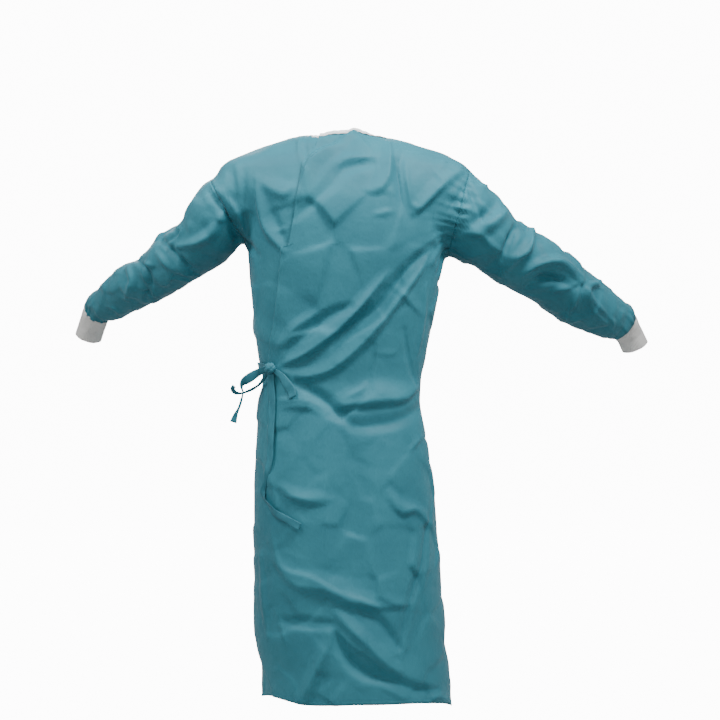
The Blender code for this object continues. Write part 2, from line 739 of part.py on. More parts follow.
def build_panels():
    rows = LOWER_ROWS + UPPER_ROWS - 1
    v_all = np.concatenate([LOWER_V, UPPER_V[1:]])
    seams = 1 - SHOULDER_U[::-1]
    flap, flap_u = panel_grid(back_starts(), np.ones(rows), FLAP_COLUMNS, True, fixed_end=seams)
    outer, inner = skins(flap, lap(flap_u), WALL)
    edges = ("last_column", "last_row")
    sheet_body("back_right_panel", pulled(outer, edges), pulled(inner, edges), TEAL)

    under_end = under_edge(v_all)
    under, under_u = panel_grid(np.zeros(rows), under_end, UNDER_COLUMNS, True, fixed_start=SHOULDER_U)
    hidden = ease((under_u - back_starts()[:, None] - 0.01) / 0.10)
    outer, inner = skins(under, lap(under_u) - LAP - UNDER_DROP * hidden, WALL, 1 - hidden)
    edges = ("first_column", "last_row")
    sheet_body("back_left_panel", pulled(outer, edges), pulled(inner, edges), TEAL)

    start = 1 + SHOULDER_U
    end = 2 - SHOULDER_U[::-1]
    front, front_u = panel_grid(np.ones(rows), np.full(rows, 2.0), FRONT_COLUMNS, False, start, end)
    outer, inner = skins(front, np.zeros(front_u.shape), WALL)
    edges = ("first_column", "last_column", "last_row")
    sheet_body("front_panel", pulled(outer, edges), pulled(inner, edges), TEAL)


def arm_rings(hole, line, stops):
    """Rings of skin points from the armhole along an arm, at distances from its start."""
    at = distances(line)
    middle = along_row(line, at, stops)
    radius = np.interp(stops, at, line[:, 3])[:, None]
    way = unit(along_row(unit(np.gradient(line[:, :3], at, axis=0)), at, stops))
    back = unit(np.array([0, 1.0, 0]) - way[:, 1:2] * way)
    up = unit(np.cross(way, back))
    up *= np.sign(up[:, 2:])
    first = (1 - ease((stops - stops[0]) / 0.13))[:, None]
    low = middle - up * radius
    low += (hole.middle - hole.up * hole.half - low[0]) * first
    high = middle + up * radius
    high += (hole.middle + hole.up * hole.half - high[0]) * first
    seam = unit(np.cross(hole.up, hole.back))
    seam *= np.sign(seam @ way[0])
    turned = (1 - first) * way + first * seam
    up = unit(high - low)
    normal = unit(turned - (turned * up).sum(axis=1, keepdims=True) * up)
    back = np.cross(normal, up)
    back *= np.sign(back[:, 1:2])
    turns = np.concatenate([180 * UPPER_V, 360 - 180 * UPPER_V[-2:0:-1]])
    a = np.radians(turns)[None, :, None]
    ways = -np.cos(a) * up[:, None] + np.sin(a) * back[:, None]
    starts = np.broadcast_to((low + high)[:, None] / 2, ways.shape)
    rings = crossing(starts.reshape(-1, 3), ways.reshape(-1, 3), 0.13).reshape(ways.shape)
    rings[0] = hole.at(turns)
    return rings


def build_sleeve(side, hole, line, cuff_length):
    at = distances(line)
    nearest = np.argmin(np.linalg.norm(line[:, :3] - hole.middle, axis=1))
    start = at[nearest]
    end = at[-1] - cuff_length
    share = np.linspace(0, 1, SLEEVE_ROWS) ** 0.9
    stops = np.concatenate([start + (end - start) * share, np.linspace(end, at[-1], CUFF_ROWS)[1:]])
    rings = arm_rings(hole, line, stops)
    outer, inner = skins(rings, np.zeros(rings.shape[:2]), WALL)
    edges = ("first_row", "last_row")
    sleeve = slice(0, SLEEVE_ROWS)
    cuff = slice(SLEEVE_ROWS - 1, None)
    sheet_body(f"sleeve_{side}", pulled(outer[sleeve], edges), pulled(inner[sleeve], edges), TEAL, True)
    inner = outer - (outer - inner) * CUFF_WALL / WALL
    edges = ("first_row",)
    sheet_body(f"cuff_{side}", pulled(outer[cuff], edges), pulled(inner[cuff], edges), WHITE, True)


def build_binding():
    """The white tape round the neck, from the outer flap's corner to the under layer's."""
    edge = back_starts()[-1]
    share = (NECK_END - NECK_START) / 180
    flap = np.linspace((edge - NECK_START) / share, 180, FLAP_COLUMNS)
    front = np.linspace(180, 360, FRONT_COLUMNS)[1:]
    under = np.linspace(0, (UNDER_EDGE_NECK - NECK_START) / share, UNDER_COLUMNS)[1:]
    turns = np.concatenate([flap, front, 360 + under])
    middle = neck(turns)
    along = unit(np.gradient(middle, axis=0))
    normal = unit(slope_of(middle))
    up = unit(np.cross(along, normal))
    up *= np.sign(up[:, 2:])
    u = NECK_START + share * (turns % 360)
    hidden = ease((u - edge - 0.01) / 0.10)
    out = np.zeros(len(turns))
    folded = np.ones(len(turns))
    out[:len(flap)] = lap(u[:len(flap)])
    last = slice(len(turns) - len(under), None)
    out[last] = lap(u[last]) - LAP - UNDER_DROP * hidden[last]
    folded[last] = 1 - hidden[last]
    lift = folds(middle) * folded + out
    middle = middle + normal * lift[:, None]
    outer = []
    inner = []
    for high in (3 * SEAM, BINDING_HIGH / 2, BINDING_HIGH):
        outer.append(middle + up * high + normal * 0.0004)
        inner.append(middle + up * high + normal * (0.0004 - BINDING_THICK))
    outer = np.array(outer)
    inner = np.array(inner)
    sheet_body("neck_binding", outer, inner, WHITE)


def ribbon(name, middle, face, width, turn):
    """A strip of cloth along a line of points, turned about it by degrees from facing one way."""
    along = unit(np.gradient(middle, axis=0))
    across = unit(np.cross(along, face))
    out = unit(np.cross(across, along))
    a = np.radians(turn)[:, None]
    across, out = np.cos(a) * across + np.sin(a) * out, np.cos(a) * out - np.sin(a) * across
    side = across * width[:, None] / 2
    thick = out * RIBBON / 2
    outer = np.stack([middle - side + thick, middle + thick, middle + side + thick], axis=1)
    inner = np.stack([middle - side - thick, middle - thick, middle + side - thick], axis=1)
    sheet_body(name, outer, inner, TEAL)


def lying(rows, start, normal):
    """A ribbon over the outer flap from its start at the knot: points, their way out, widths and turns."""
    first = rows[0]
    rows = np.array(rows[1:], float)
    base = laid(rows[:, 0] / 1000, rows[:, 1] / 1000, 1)
    out = unit(slope_of(base))
    lift = folds(base) + LAP + rows[:, 2] / 1000
    middle = np.concatenate([[start], base + out * lift[:, None]])
    face = np.concatenate([[normal], out])
    return middle, face, np.append(first[0], rows[:, 3]) / 1000, np.append(first[1], rows[:, 4])


def hanging(rows, start):
    """The same for a ribbon in the air."""
    first = rows[0]
    rows = np.array(rows[1:], float)
    middle = np.concatenate([[start], rows[:, :3] / 1000])
    face = np.tile([0, 1.0, 0], (len(middle), 1))
    return middle, face, np.append(first[0], rows[:, 3]) / 1000, np.append(first[1], rows[:, 4])


def build_tie():
    base = laid([KNOT_BASE[0]], np.array([KNOT_BASE[1]]), 1)
    normal = unit(slope_of(base))[0]
    side = unit(np.cross(normal, [0, 0, 1.0]))
    if side[0] < 0:
        side = -side
    up = unit(np.cross(side, normal))
    up *= np.sign(up[2])
    centre = base[0] + normal * (folds(base)[0] + LAP + KNOT_HALF[1] + 0.0008)
    shape = bmesh.new()
    bmesh.ops.create_uvsphere(shape, u_segments=14, v_segments=9, radius=1)
    vertices = []
    for vertex in shape.verts:
        x, y, z = vertex.co
        vertices.append(centre + side * x * KNOT_HALF[0] + normal * y * KNOT_HALF[1] + up * z * KNOT_HALF[2])
    faces = [tuple(v.index for v in face.verts) for face in shape.faces]
    shape.free()
    body_of("tie_knot", vertices, faces, TEAL)

    def leaving(degrees, forward):
        """A point just off the knot: 0 is its left side, 90 its top."""
        c = math.cos(math.radians(degrees))
        s = math.sin(math.radians(degrees))
        out = unit(side * c / KNOT_HALF[0] + up * s / KNOT_HALF[2])
        return centre + side * c * KNOT_HALF[0] + up * s * KNOT_HALF[2] + out * KNOT_GAP + normal * forward

    ribbon("tie_tail_long", *lying(LONG_TAIL, leaving(-90, 0.0), normal))
    ribbon("tie_short_end", *lying(SHORT_END, leaving(205, 0.0), normal))
    ribbon("tie_bow", *hanging(BOW, leaving(-5, 0.001)))
    ribbon("tie_curl", *hanging(CURL, leaving(-48, -0.001)))

    u = np.array(STRAP_SHARES)
    start = np.tile([section(STRAP_HEIGHT)[0], 0, STRAP_HEIGHT], (len(u), 1))
    way = np.stack([np.cos(np.pi * u), np.sin(np.pi * u), np.zeros(len(u))], axis=1)
    skin = crossing(start, way, 0.30)
    out = unit(slope_of(skin))
    over = skin + out * (folds(skin) + 0.0045)[:, None]
    end = centre + side * 0.0132 - normal * 0.003
    middle = np.concatenate([over, [end]])
    face = np.concatenate([out, [normal]])
    width = np.append(np.full(len(u), STRAP_WIDE), 0.012)
    ribbon("tie_strap_front", middle, face, width, np.zeros(len(middle)))


def main():
    global COLLECTION
    for found in list(bpy.data.objects):
        bpy.data.objects.remove(found, do_unlink=True)
    COLLECTION = bpy.data.collections.new("surgical_gown")
    bpy.context.scene.collection.children.link(COLLECTION)
    build_panels()
    build_sleeve("left", LEFT_HOLE, LEFT_LINE, LEFT_CUFF_LENGTH)
    build_sleeve("right", RIGHT_HOLE, RIGHT_LINE, RIGHT_CUFF_LENGTH)
    build_binding()
    build_tie()


if __name__ == "__main__":
    main()
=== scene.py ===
"""The worn surgical gown: thin crisp cloth over each panel, knitted cuffs, neck tape and waist tie."""

import math

import bmesh
import bpy
import numpy as np
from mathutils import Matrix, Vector


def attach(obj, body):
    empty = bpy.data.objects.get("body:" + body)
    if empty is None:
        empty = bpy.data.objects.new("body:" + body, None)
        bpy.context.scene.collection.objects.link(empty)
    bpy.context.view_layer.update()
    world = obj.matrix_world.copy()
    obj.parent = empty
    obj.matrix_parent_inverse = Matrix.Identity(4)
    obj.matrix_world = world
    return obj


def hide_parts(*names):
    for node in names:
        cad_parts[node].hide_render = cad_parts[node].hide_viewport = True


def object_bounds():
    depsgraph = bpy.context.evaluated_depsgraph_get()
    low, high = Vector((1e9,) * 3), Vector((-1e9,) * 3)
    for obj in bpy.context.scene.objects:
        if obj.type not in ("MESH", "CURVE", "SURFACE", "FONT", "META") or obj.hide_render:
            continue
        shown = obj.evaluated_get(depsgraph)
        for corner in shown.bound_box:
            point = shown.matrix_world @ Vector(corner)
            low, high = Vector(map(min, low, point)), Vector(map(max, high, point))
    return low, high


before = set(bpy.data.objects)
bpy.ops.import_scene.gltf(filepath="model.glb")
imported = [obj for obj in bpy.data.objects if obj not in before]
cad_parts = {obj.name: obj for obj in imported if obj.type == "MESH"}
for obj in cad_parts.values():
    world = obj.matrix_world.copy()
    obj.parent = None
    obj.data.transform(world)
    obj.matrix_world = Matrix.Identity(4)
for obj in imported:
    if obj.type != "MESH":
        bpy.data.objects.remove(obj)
CAD_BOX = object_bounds()
FINE = 1.0

# Thicknesses, in metres
CLOTH = 0.0007
CUFF_KNIT = 0.0011
TAPE_CLOTH = 0.0005
RIBBON_CLOTH = 0.0009

# How far the flap stands off the layer below, and the blend of arms and body
LAP = 0.0050
BLEND = 0.032

# How far the rows of stitches run from their edges
EDGE_STITCH = 0.009
HEM_STITCH = 0.012
SEAM_STITCH = 0.004
SCYE_STITCH = 0.0045
WRIST_STITCH = 0.005
CUFF_STITCH = 0.007

# A stitch: from one to the next, its own share of that, half width, height, depth into the cloth
STITCH_PITCH = 0.0036
STITCH_SHARE = 0.66
STITCH_HALF = 0.00036
STITCH_HIGH = 0.00045
STITCH_DEEP = 0.0004

# Rows and columns of points
UPPER_ROWS = int(50 * FINE)
LOWER_ROWS = int(214 * FINE)
SLEEVE_ROWS = int(118 * FINE)
SHOULDER_COLUMNS = int(34 * FINE)
FLAP_COLUMNS = int(124 * FINE)
UNDER_COLUMNS = int(60 * FINE)
FRONT_COLUMNS = int(100 * FINE)
CUFF_ROWS = int(26 * FINE)
CUFF_RIBS = 62
CUFF_COLUMNS = CUFF_RIBS * 6

# The body's level sections: height, middle, half width, depth behind, depth in front, squareness
SECTIONS = np.array([
    (0.030, -0.002, 0.045, 0.036, 0.036, 2.0),
    (0.013, -0.002, 0.066, 0.048, 0.046, 2.0),
    (0.001, -0.002, 0.088, 0.058, 0.054, 2.0),
    (-0.005, -0.004, 0.116, 0.064, 0.058, 2.0),
    (-0.018, -0.008, 0.164, 0.076, 0.066, 2.0),
    (-0.035, -0.008, 0.207, 0.089, 0.075, 2.0),
    (-0.053, -0.006, 0.243, 0.099, 0.084, 2.1),
    (-0.072, -0.007, 0.263, 0.107, 0.093, 2.2),
    (-0.100, -0.009, 0.262, 0.116, 0.106, 2.3),
    (-0.150, -0.012, 0.237, 0.127, 0.126, 2.4),
    (-0.200, -0.013, 0.219, 0.130, 0.142, 2.4),
    (-0.269, -0.013, 0.213, 0.127, 0.152, 2.4),
    (-0.340, -0.010, 0.2045, 0.119, 0.153, 2.4),
    (-0.409, -0.006, 0.195, 0.111, 0.149, 2.4),
    (-0.480, -0.004, 0.1835, 0.105, 0.144, 2.4),
    (-0.530, -0.003, 0.175, 0.103, 0.141, 2.4),
    (-0.585, -0.0015, 0.1765, 0.108, 0.142, 2.4),
    (-0.655, -0.0055, 0.1835, 0.117, 0.147, 2.4),
    (-0.760, -0.010, 0.1925, 0.127, 0.155, 2.3),
    (-0.870, -0.0147, 0.199, 0.134, 0.163, 2.3),
    (-0.980, -0.020, 0.2025, 0.139, 0.171, 2.3),
    (-1.080, -0.0215, 0.2065, 0.143, 0.178, 2.2),
    (-1.170, -0.0355, 0.2065, 0.147, 0.185, 2.2),
    (-1.260, -0.0375, 0.2085, 0.150, 0.192, 2.2),
])

# The sleeves' middle lines: x, y, z, radius. The last row is the cuff's end
LEFT_ARM = np.array([
    (0.200, 0.004, -0.118, 0.066),
    (0.248, 0.000, -0.155, 0.072),
    (0.300, -0.030, -0.219, 0.066),
    (0.357, -0.070, -0.253, 0.063),
    (0.418, -0.120, -0.293, 0.055),
    (0.482, -0.180, -0.318, 0.054),
    (0.540, -0.236, -0.351, 0.043),
    (0.573, -0.268, -0.366, 0.0345),
    (0.592, -0.290, -0.396, 0.0325),
    (0.605, -0.308, -0.432, 0.0325),
])
RIGHT_ARM = np.array([
    (-0.200, 0.004, -0.110, 0.066),
    (-0.250, 0.002, -0.149, 0.078),
    (-0.309, -0.008, -0.205, 0.080),
    (-0.363, -0.030, -0.244, 0.070),
    (-0.420, -0.060, -0.270, 0.070),
    (-0.477, -0.090, -0.305, 0.066),
    (-0.537, -0.130, -0.345, 0.063),
    (-0.602, -0.172, -0.379, 0.056),
    (-0.645, -0.200, -0.398, 0.042),
    (-0.670, -0.218, -0.420, 0.0330),
    (-0.688, -0.232, -0.456, 0.0325),
])
LEFT_CUFF_LENGTH = 0.066
RIGHT_CUFF_LENGTH = 0.068
LEFT_SHOULDER_X = 0.285
RIGHT_SHOULDER_X = -0.284

# The neck edge: direction in degrees (0 is +X, 90 is +Y), height
NECK = np.array([
    (-30, -0.022), (0, 0.001), (30, -0.001), (55, -0.006), (68, -0.001), (107, 0.0035),
    (126, 0.0100), (142, 0.0050), (160, -0.0015), (180, -0.001), (210, -0.022),
    (240, -0.056), (270, -0.070), (300, -0.056), (330, -0.022), (360, 0.001), (390, -0.001),
])
NECK_START = 0.2
NECK_END = 0.8

# The outer flap's free edge above the armhole: height, x
EDGE_ABOVE = np.array([
    (-0.250, 0.108), (-0.200, 0.100), (-0.169, 0.0945), (-0.103, 0.0836), (-0.070, 0.079),
    (-0.048, 0.069), (-0.026, 0.050), (-0.004, 0.0425), (0.020, 0.0425),
])
# And below it: height, share of the way round the back from the left side
EDGE_BELOW = np.array([
    (-1.260, 0.240), (-1.230, 0.215), (-1.166, 0.140), (-1.115, 0.045), (-1.095, -0.010),
    (-1.060, -0.055), (-0.900, -0.065), (-0.700, -0.065), (-0.640, -0.050), (-0.592, 0.000),
    (-0.559, 0.090), (-0.528, 0.143), (-0.488, 0.195), (-0.378, 0.262), (-0.290, 0.286),
    (-0.240, 0.300),
])
UNDER_EDGE_NECK = 0.60
UNDER_EDGE_HEM = 0.66

# The hem: share of the way round, height
HEM = np.array([
    (-0.50, -1.250), (-0.10, -1.232), (0.00, -1.227), (0.20, -1.210), (0.35, -1.2185),
    (0.50, -1.215), (0.65, -1.216), (0.80, -1.224), (1.00, -1.247), (1.30, -1.252),
    (1.60, -1.250), (1.90, -1.232), (2.00, -1.227), (2.20, -1.210),
])

# The large folds behind. Each is how crisp its crest is (0 to 1), how far it leans to the left hand of its
# line (-1 to 1), and then its points in millimetres: x, z, half width, height (a hollow's is below 0)
FOLDS_BEHIND = [
    # Nape and shoulders
    (0.5, 0.5, (-27, 1, 12, 4), (22, -35, 18, 10), (61, -63, 20, 10), (77, -105, 20, 7),
     (86, -148, 20, 2)),
    (0.3, 0, (-22, -14, 12, -2), (8, -21, 16, -6), (38, -28, 14, -4)),
    (0.5, 0, (-82, -67, 10, -3), (-48, -72, 18, -7), (-12, -83, 24, -8), (18, -118, 24, -7),
     (45, -144, 20, -5), (96, -188, 16, -2)),
    (0.8, -0.5, (-72, -53, 10, 1), (-46, -57, 14, 5), (-16, -62, 14, 4), (6, -78, 12, 1)),
    (0.6, -0.3, (-107, -16, 14, 3), (-108, -60, 16, 6), (-101, -105, 18, 7), (-76, -131, 16, 5),
     (-52, -127, 12, 1)),
    (0.4, 0, (-137, -40, 14, -2), (-127, -93, 20, -6), (-133, -148, 22, -6), (-148, -190, 18, -2)),
    (0.5, -0.4, (-265, -81, 16, 3), (-216, -119, 20, 8), (-176, -159, 18, 7), (-159, -175, 12, 2)),
    (0.5, 0.2, (172, -103, 16, 2), (142, -125, 20, 7), (118, -135, 20, 7), (92, -116, 14, 2)),
    # Back and armpits
    (0.4, 0.3, (179, -124, 18, 3), (166, -175, 22, 8), (149, -223, 20, 7), (118, -258, 14, 2)),
    (0.55, 0, (-203, -247, 18, -5), (-175, -270, 24, -12), (-138, -311, 28, -14), (-112, -347, 28, -13),
     (-78, -384, 26, -12), (-31, -413, 24, -10), (22, -452, 22, -8), (71, -490, 16, -3)),
    # Waist
    (0.6, -0.3, (-197, -256, 14, 3), (-153, -321, 20, 9), (-119, -366, 22, 11), (-89, -405, 24, 11),
     (-48, -452, 26, 12), (-12, -486, 26, 12), (31, -514, 24, 11), (74, -524, 20, 8),
     (119, -512, 12, 2)),
    (0.6, -0.2, (-101, -307, 16, 2), (-61, -354, 20, 8), (-21, -401, 20, 9), (22, -439, 20, 9),
     (61, -469, 18, 7), (115, -497, 12, 3)),
    (0.5, 0, (-23, -373, 14, -3), (20, -392, 20, -7), (61, -426, 20, -7), (110, -467, 16, -3)),
    (0.6, 0, (52, -390, 14, 3), (88, -415, 20, 7), (123, -454, 14, 3)),
    (0.25, -0.5, (-168, -549, 18, 3), (-139, -570, 26, 9), (-100, -574, 34, 12), (-57, -578, 34, 12),
     (-18, -584, 26, 9), (11, -590, 16, 2)),
    (0.5, 0, (-189, -580, 16, -2), (-147, -609, 22, -7), (-87, -625, 24, -8), (-23, -624, 22, -7),
     (3, -599, 20, -8), (39, -565, 20, -8), (89, -539, 16, -5)),
    (0.8, 0, (121, -576, 14, 2), (84, -576, 18, 6), (54, -582, 16, 5), (28, -599, 12, 2)),
    (0.7, 0, (-138, -424, 12, -2), (-152, -482, 18, -6), (-166, -538, 16, -4)),
    # Skirt and hem
    (0.3, 0, (-27, -658, 40, -5), (-31, -743, 54, -10), (-31, -848, 56, -12), (-27, -932, 44, -9),
     (-23, -978, 30, -3)),
    (0.6, 0, (121, -759, 14, 2), (88, -779, 22, 7), (49, -781, 20, 6), (20, -783, 12, 2)),
    (0.7, 0, (-104, -769, 14, 2), (-136, -804, 20, 7), (-168, -810, 18, 6), (-198, -845, 12, 2)),
    (0.5, 0.4, (136, -916, 20, 3), (94, -962, 28, 8), (28, -974, 30, 10), (-27, -999, 26, 8),
     (-82, -1008, 22, 6), (-150, -1007, 14, 2)),
    (0.7, 0, (122, -1042, 14, -3), (72, -1043, 18, -6), (19, -1046, 16, -5)),
    (0.65, 0.2, (7, -1020, 14, 3), (-23, -1054, 22, 11), (-61, -1090, 26, 13), (-95, -1126, 26, 12),
     (-124, -1148, 18, 5)),
    (0.5, 0, (11, -1054, 14, -4), (-8, -1102, 20, -11), (-42, -1140, 22, -12), (-112, -1166, 22, -11),
     (-172, -1192, 20, -8), (-211, -1196, 12, -3)),
    (0.5, 0, (-44, -1012, 14, -3), (-86, -1046, 20, -8), (-127, -1098, 16, -5)),
    (0.6, 0, (-196, -804, 14, -2), (-175, -937, 20, -7), (-153, -1003, 20, -6), (-127, -1098, 12, -2)),
    (0.6, 0, (13, -1054, 14, 2), (36, -1115, 22, 7), (64, -1182, 22, 8), (78, -1210, 20, 7)),
    # Left arm
    (0.7, 0, (291, -114, 10, -4), (262, -148, 16, -11), (240, -176, 18, -13), (226, -215, 18, -12),
     (214, -252, 12, -5)),
    (0.7, 0, (262, -122, 10, 3), (238, -150, 14, 7), (218, -182, 14, 7), (204, -222, 12, 3)),
    (0.6, 0, (254, -175, 12, 3), (277, -213, 18, 8), (317, -233, 18, 8), (360, -238, 12, 3)),
    (0.6, 0, (402, -215, 12, -5), (379, -245, 16, -7), (352, -272, 16, -6), (318, -289, 10, -3)),
    (0.6, 0, (405, -253, 12, 3), (376, -280, 16, 6), (342, -297, 12, 3)),
    (0.6, 0, (470, -255, 10, -3), (435, -282, 14, -6), (427, -318, 14, -6), (443, -352, 10, -3)),
    (0.6, 0, (485, -274, 12, 3), (472, -312, 16, 6), (491, -351, 12, 3)),
    # Right arm
    (0.6, 0, (-342, -140, 10, -3), (-320, -171, 16, -8), (-289, -191, 12, -4)),
    (0.6, 0, (-369, -156, 12, 3), (-337, -190, 18, 8), (-298, -215, 14, 5)),
    (0.6, 0, (-388, -200, 12, -6), (-365, -237, 16, -8), (-350, -267, 14, -6), (-323, -287, 10, -2)),
    (0.6, 0, (-432, -191, 12, 4), (-411, -237, 18, 8), (-379, -270, 18, 7), (-351, -300, 12, 3)),
    (0.6, 0, (-402, -301, 12, 3), (-439, -277, 18, 7), (-487, -271, 18, 7), (-541, -305, 14, 4)),
    (0.5, 0, (-414, -328, 12, -3), (-452, -309, 16, -8), (-496, -311, 14, -5)),
    (0.6, 0, (-590, -310, 10, 3), (-550, -331, 16, 7), (-566, -371, 16, 6), (-603, -406, 12, 3)),
]
# The small creases behind, in the same form
CREASES_BEHIND = [
    # Yoke, back and armpits
    (1, 0.3, (-137, -38, 8, 1), (-142, -98, 10, 3.5), (-156, -174, 10, 1)),
    (1, -0.4, (-117, -41, 8, 1), (-126, -95, 10, -3), (-133, -150, 8, -1)),
    (1, 0, (86, -1, 8, 1), (88, -26, 10, 4), (79, -70, 10, 1)),
    (0.8, 0, (72, -2, 8, -1), (74, -40, 12, -4), (66, -80, 8, -1)),
    (1, 0, (-220, -112, 10, 2), (-178, -152, 12, 4), (-169, -165, 12, 4), (-156, -156, 8, 1)),
    (1, 0, (-196, -66, 8, 1), (-214, -96, 10, 3), (-226, -112, 8, 1)),
    (0.9, 0.3, (180, -97, 10, 2), (164, -182, 14, 5), (152, -215, 14, 5), (121, -255, 10, 2)),
    (0.8, 0, (146, -150, 10, -2), (134, -196, 14, -4), (112, -238, 10, -2)),
    (0.9, 0, (222, -76, 10, 2), (217, -120, 12, 4), (214, -170, 10, 1)),
    (0.8, 0, (205, -80, 10, -2), (203, -130, 12, -4), (198, -172, 8, -1)),
    (0.5, 0, (222, -214, 12, -3), (202, -236, 20, -8), (176, -262, 14, -3)),
    (1, 0, (136, -211, 8, 1), (124, -211, 10, 3), (112, -211, 8, 1)),
    (0.9, 0, (-72, -180, 8, 1), (-94, -176, 12, 4), (-114, -171, 8, 1)),
    # Waist
    (0.9, 0, (-99, -305, 8, 1), (-62, -350, 12, 4), (-22, -398, 12, 4), (24, -440, 12, 4),
     (64, -470, 12, 3), (136, -503, 8, 1)),
    (1, 0, (128, -591, 8, 1), (88, -589, 10, 4), (64, -591, 10, 4), (35, -604, 8, 1)),
    (0.9, 0, (-145, -431, 8, 1), (-154, -481, 12, 4), (-167, -539, 8, 1)),
    (1, 0, (-75, -472, 8, 1), (-99, -474, 10, 2), (-124, -473, 8, 1)),
    (1, 0, (-58, -540, 8, 1), (-40, -556, 12, 4), (-18, -566, 8, 1)),
    (0.9, 0, (96, -538, 8, -1), (62, -560, 14, -5), (30, -580, 12, -4), (2, -606, 8, -1)),
    (0.8, 0.5, (-112, -330, 10, 1), (-142, -356, 16, 4), (-176, -392, 10, 1)),
    (0.8, 0, (-186, -330, 10, 2), (-180, -400, 14, 5), (-170, -470, 10, 2)),
    # The line pressed down the skirt
    (1, 0, (27, -600, 5, 0.5), (27, -760, 6, 1.2), (25, -900, 6, 1.2), (24, -1000, 5, 0.5)),
    # Skirt and hem
    (1, -0.5, (141, -856, 8, 1), (114, -932, 12, 4), (59, -948, 14, 5), (1, -978, 14, 5),
     (-75, -1007, 12, 4), (-90, -1016, 8, 1)),
    (1, 0, (128, -1048, 8, -1), (72, -1054, 10, -4), (18, -1056, 8, -1)),
    (1, 0.4, (13, -1054, 8, 1), (-48, -1104, 14, 5), (-99, -1146, 10, 2)),
    (0.9, 0, (-176, -1243, 10, 2), (-209, -1208, 14, 5), (-239, -1231, 10, 2)),
    (1, 0.4, (-200, -805, 8, 1), (-176, -957, 14, 5), (-154, -1020, 12, 4), (-130, -1122, 8, 1)),
    (1, 0, (-103, -781, 8, 1), (-141, -814, 10, 4), (-158, -805, 8, 1)),
    (1, 0, (-158, -805, 8, 1), (-180, -830, 10, 4), (-200, -855, 8, 1)),
    (1, 0, (-176, -653, 8, 1), (-162, -670, 10, 4), (-150, -684, 8, 1)),
    (1, 0, (132, -1025, 8, 1), (122, -1054, 10, 3), (114, -1083, 8, 1)),
    (1, 0, (18, -1083, 8, 1), (44, -1146, 12, 4), (68, -1210, 10, 2)),
    (0.9, 0, (114, -776, 8, 1), (72, -786, 14, 4), (26, -792, 8, 1)),
    (0.6, 0, (150, -640, 12, 2), (146, -720, 18, 5), (132, -800, 12, 2)),
    (0.6, 0, (166, -900, 12, 2), (160, -990, 18, 5), (150, -1080, 12, 2)),
    # Left sleeve
    (0.9, 0, (272, -190, 8, 1), (300, -228, 12, 4), (330, -236, 8, 1)),
    (1, 0, (363, -191, 6, 2), (350, -204, 10, 5), (362, -218, 6, 2)),
    (1, 0, (398, -226, 6, 2), (372, -220, 10, -5), (346, -196, 6, -2)),
    (0.9, 0, (398, -233, 8, 2), (362, -272, 12, 5), (334, -297, 10, 4), (297, -299, 6, 1)),
    (0.9, 0, (352, -246, 8, -2), (340, -282, 12, -5), (300, -312, 8, -2)),
    (1, 0, (382, -306, 6, 1), (352, -308, 10, 4), (312, -318, 6, 1)),
    (1, 0, (451, -264, 6, 2), (432, -274, 10, 5), (414, -278, 6, 1)),
    (0.9, 0, (442, -288, 8, 2), (430, -322, 12, 5), (413, -354, 8, 1)),
    (0.9, 0, (451, -334, 8, -1), (430, -340, 12, -4), (413, -356, 8, -1)),
    (1, 0, (543, -365, 6, 1), (522, -372, 10, 4), (506, -385, 6, 1)),
    # Right armhole and sleeve
    (1, 0, (-284, -79, 8, 2), (-268, -116, 12, -5), (-231, -169, 8, -2)),
    (1, 0, (-292, -106, 6, 1), (-312, -112, 10, 4), (-330, -100, 6, 1)),
    (1, 0, (-250, -150, 6, 1), (-268, -162, 10, 4), (-290, -158, 6, 1)),
    (1, 0, (-232, -178, 6, 1), (-256, -186, 10, 4), (-278, -178, 6, 1)),
    (0.9, 0, (-279, -112, 8, -2), (-292, -148, 14, -5), (-310, -184, 8, -2)),
    (0.9, 0, (-363, -167, 8, 2), (-322, -189, 12, 5), (-282, -211, 8, 2)),
    (0.9, 0, (-258, -222, 8, 2), (-300, -216, 14, 5), (-330, -240, 12, 4), (-360, -258, 8, 1)),
    (1, 0, (-387, -191, 8, -3), (-372, -228, 14, -7), (-359, -259, 8, -2)),
    (1, 0.3, (-425, -195, 8, 3), (-405, -253, 14, 6), (-359, -264, 8, 2)),
    (1, 0, (-405, -301, 8, 1), (-425, -281, 12, 5), (-475, -272, 12, 5), (-537, -314, 8, 2)),
    (0.8, 0, (-410, -318, 10, -2), (-446, -306, 16, -6), (-520, -326, 10, -2)),
    (1, 0, (-537, -314, 6, 1), (-498, -330, 10, 4), (-462, -336, 6, 1)),
    (1, 0, (-537, -314, 6, 1), (-517, -374, 10, 4), (-505, -402, 6, 1)),
    (1, 0, (-537, -314, 6, 1), (-572, -318, 10, 4), (-600, -330, 6, 1)),
    (1, 0, (-537, -314, 6, 1), (-570, -356, 10, 5), (-612, -396, 6, 1)),
    (1, 0, (-612, -391, 6, 1), (-620, -404, 10, 4), (-623, -416, 6, 1)),
]
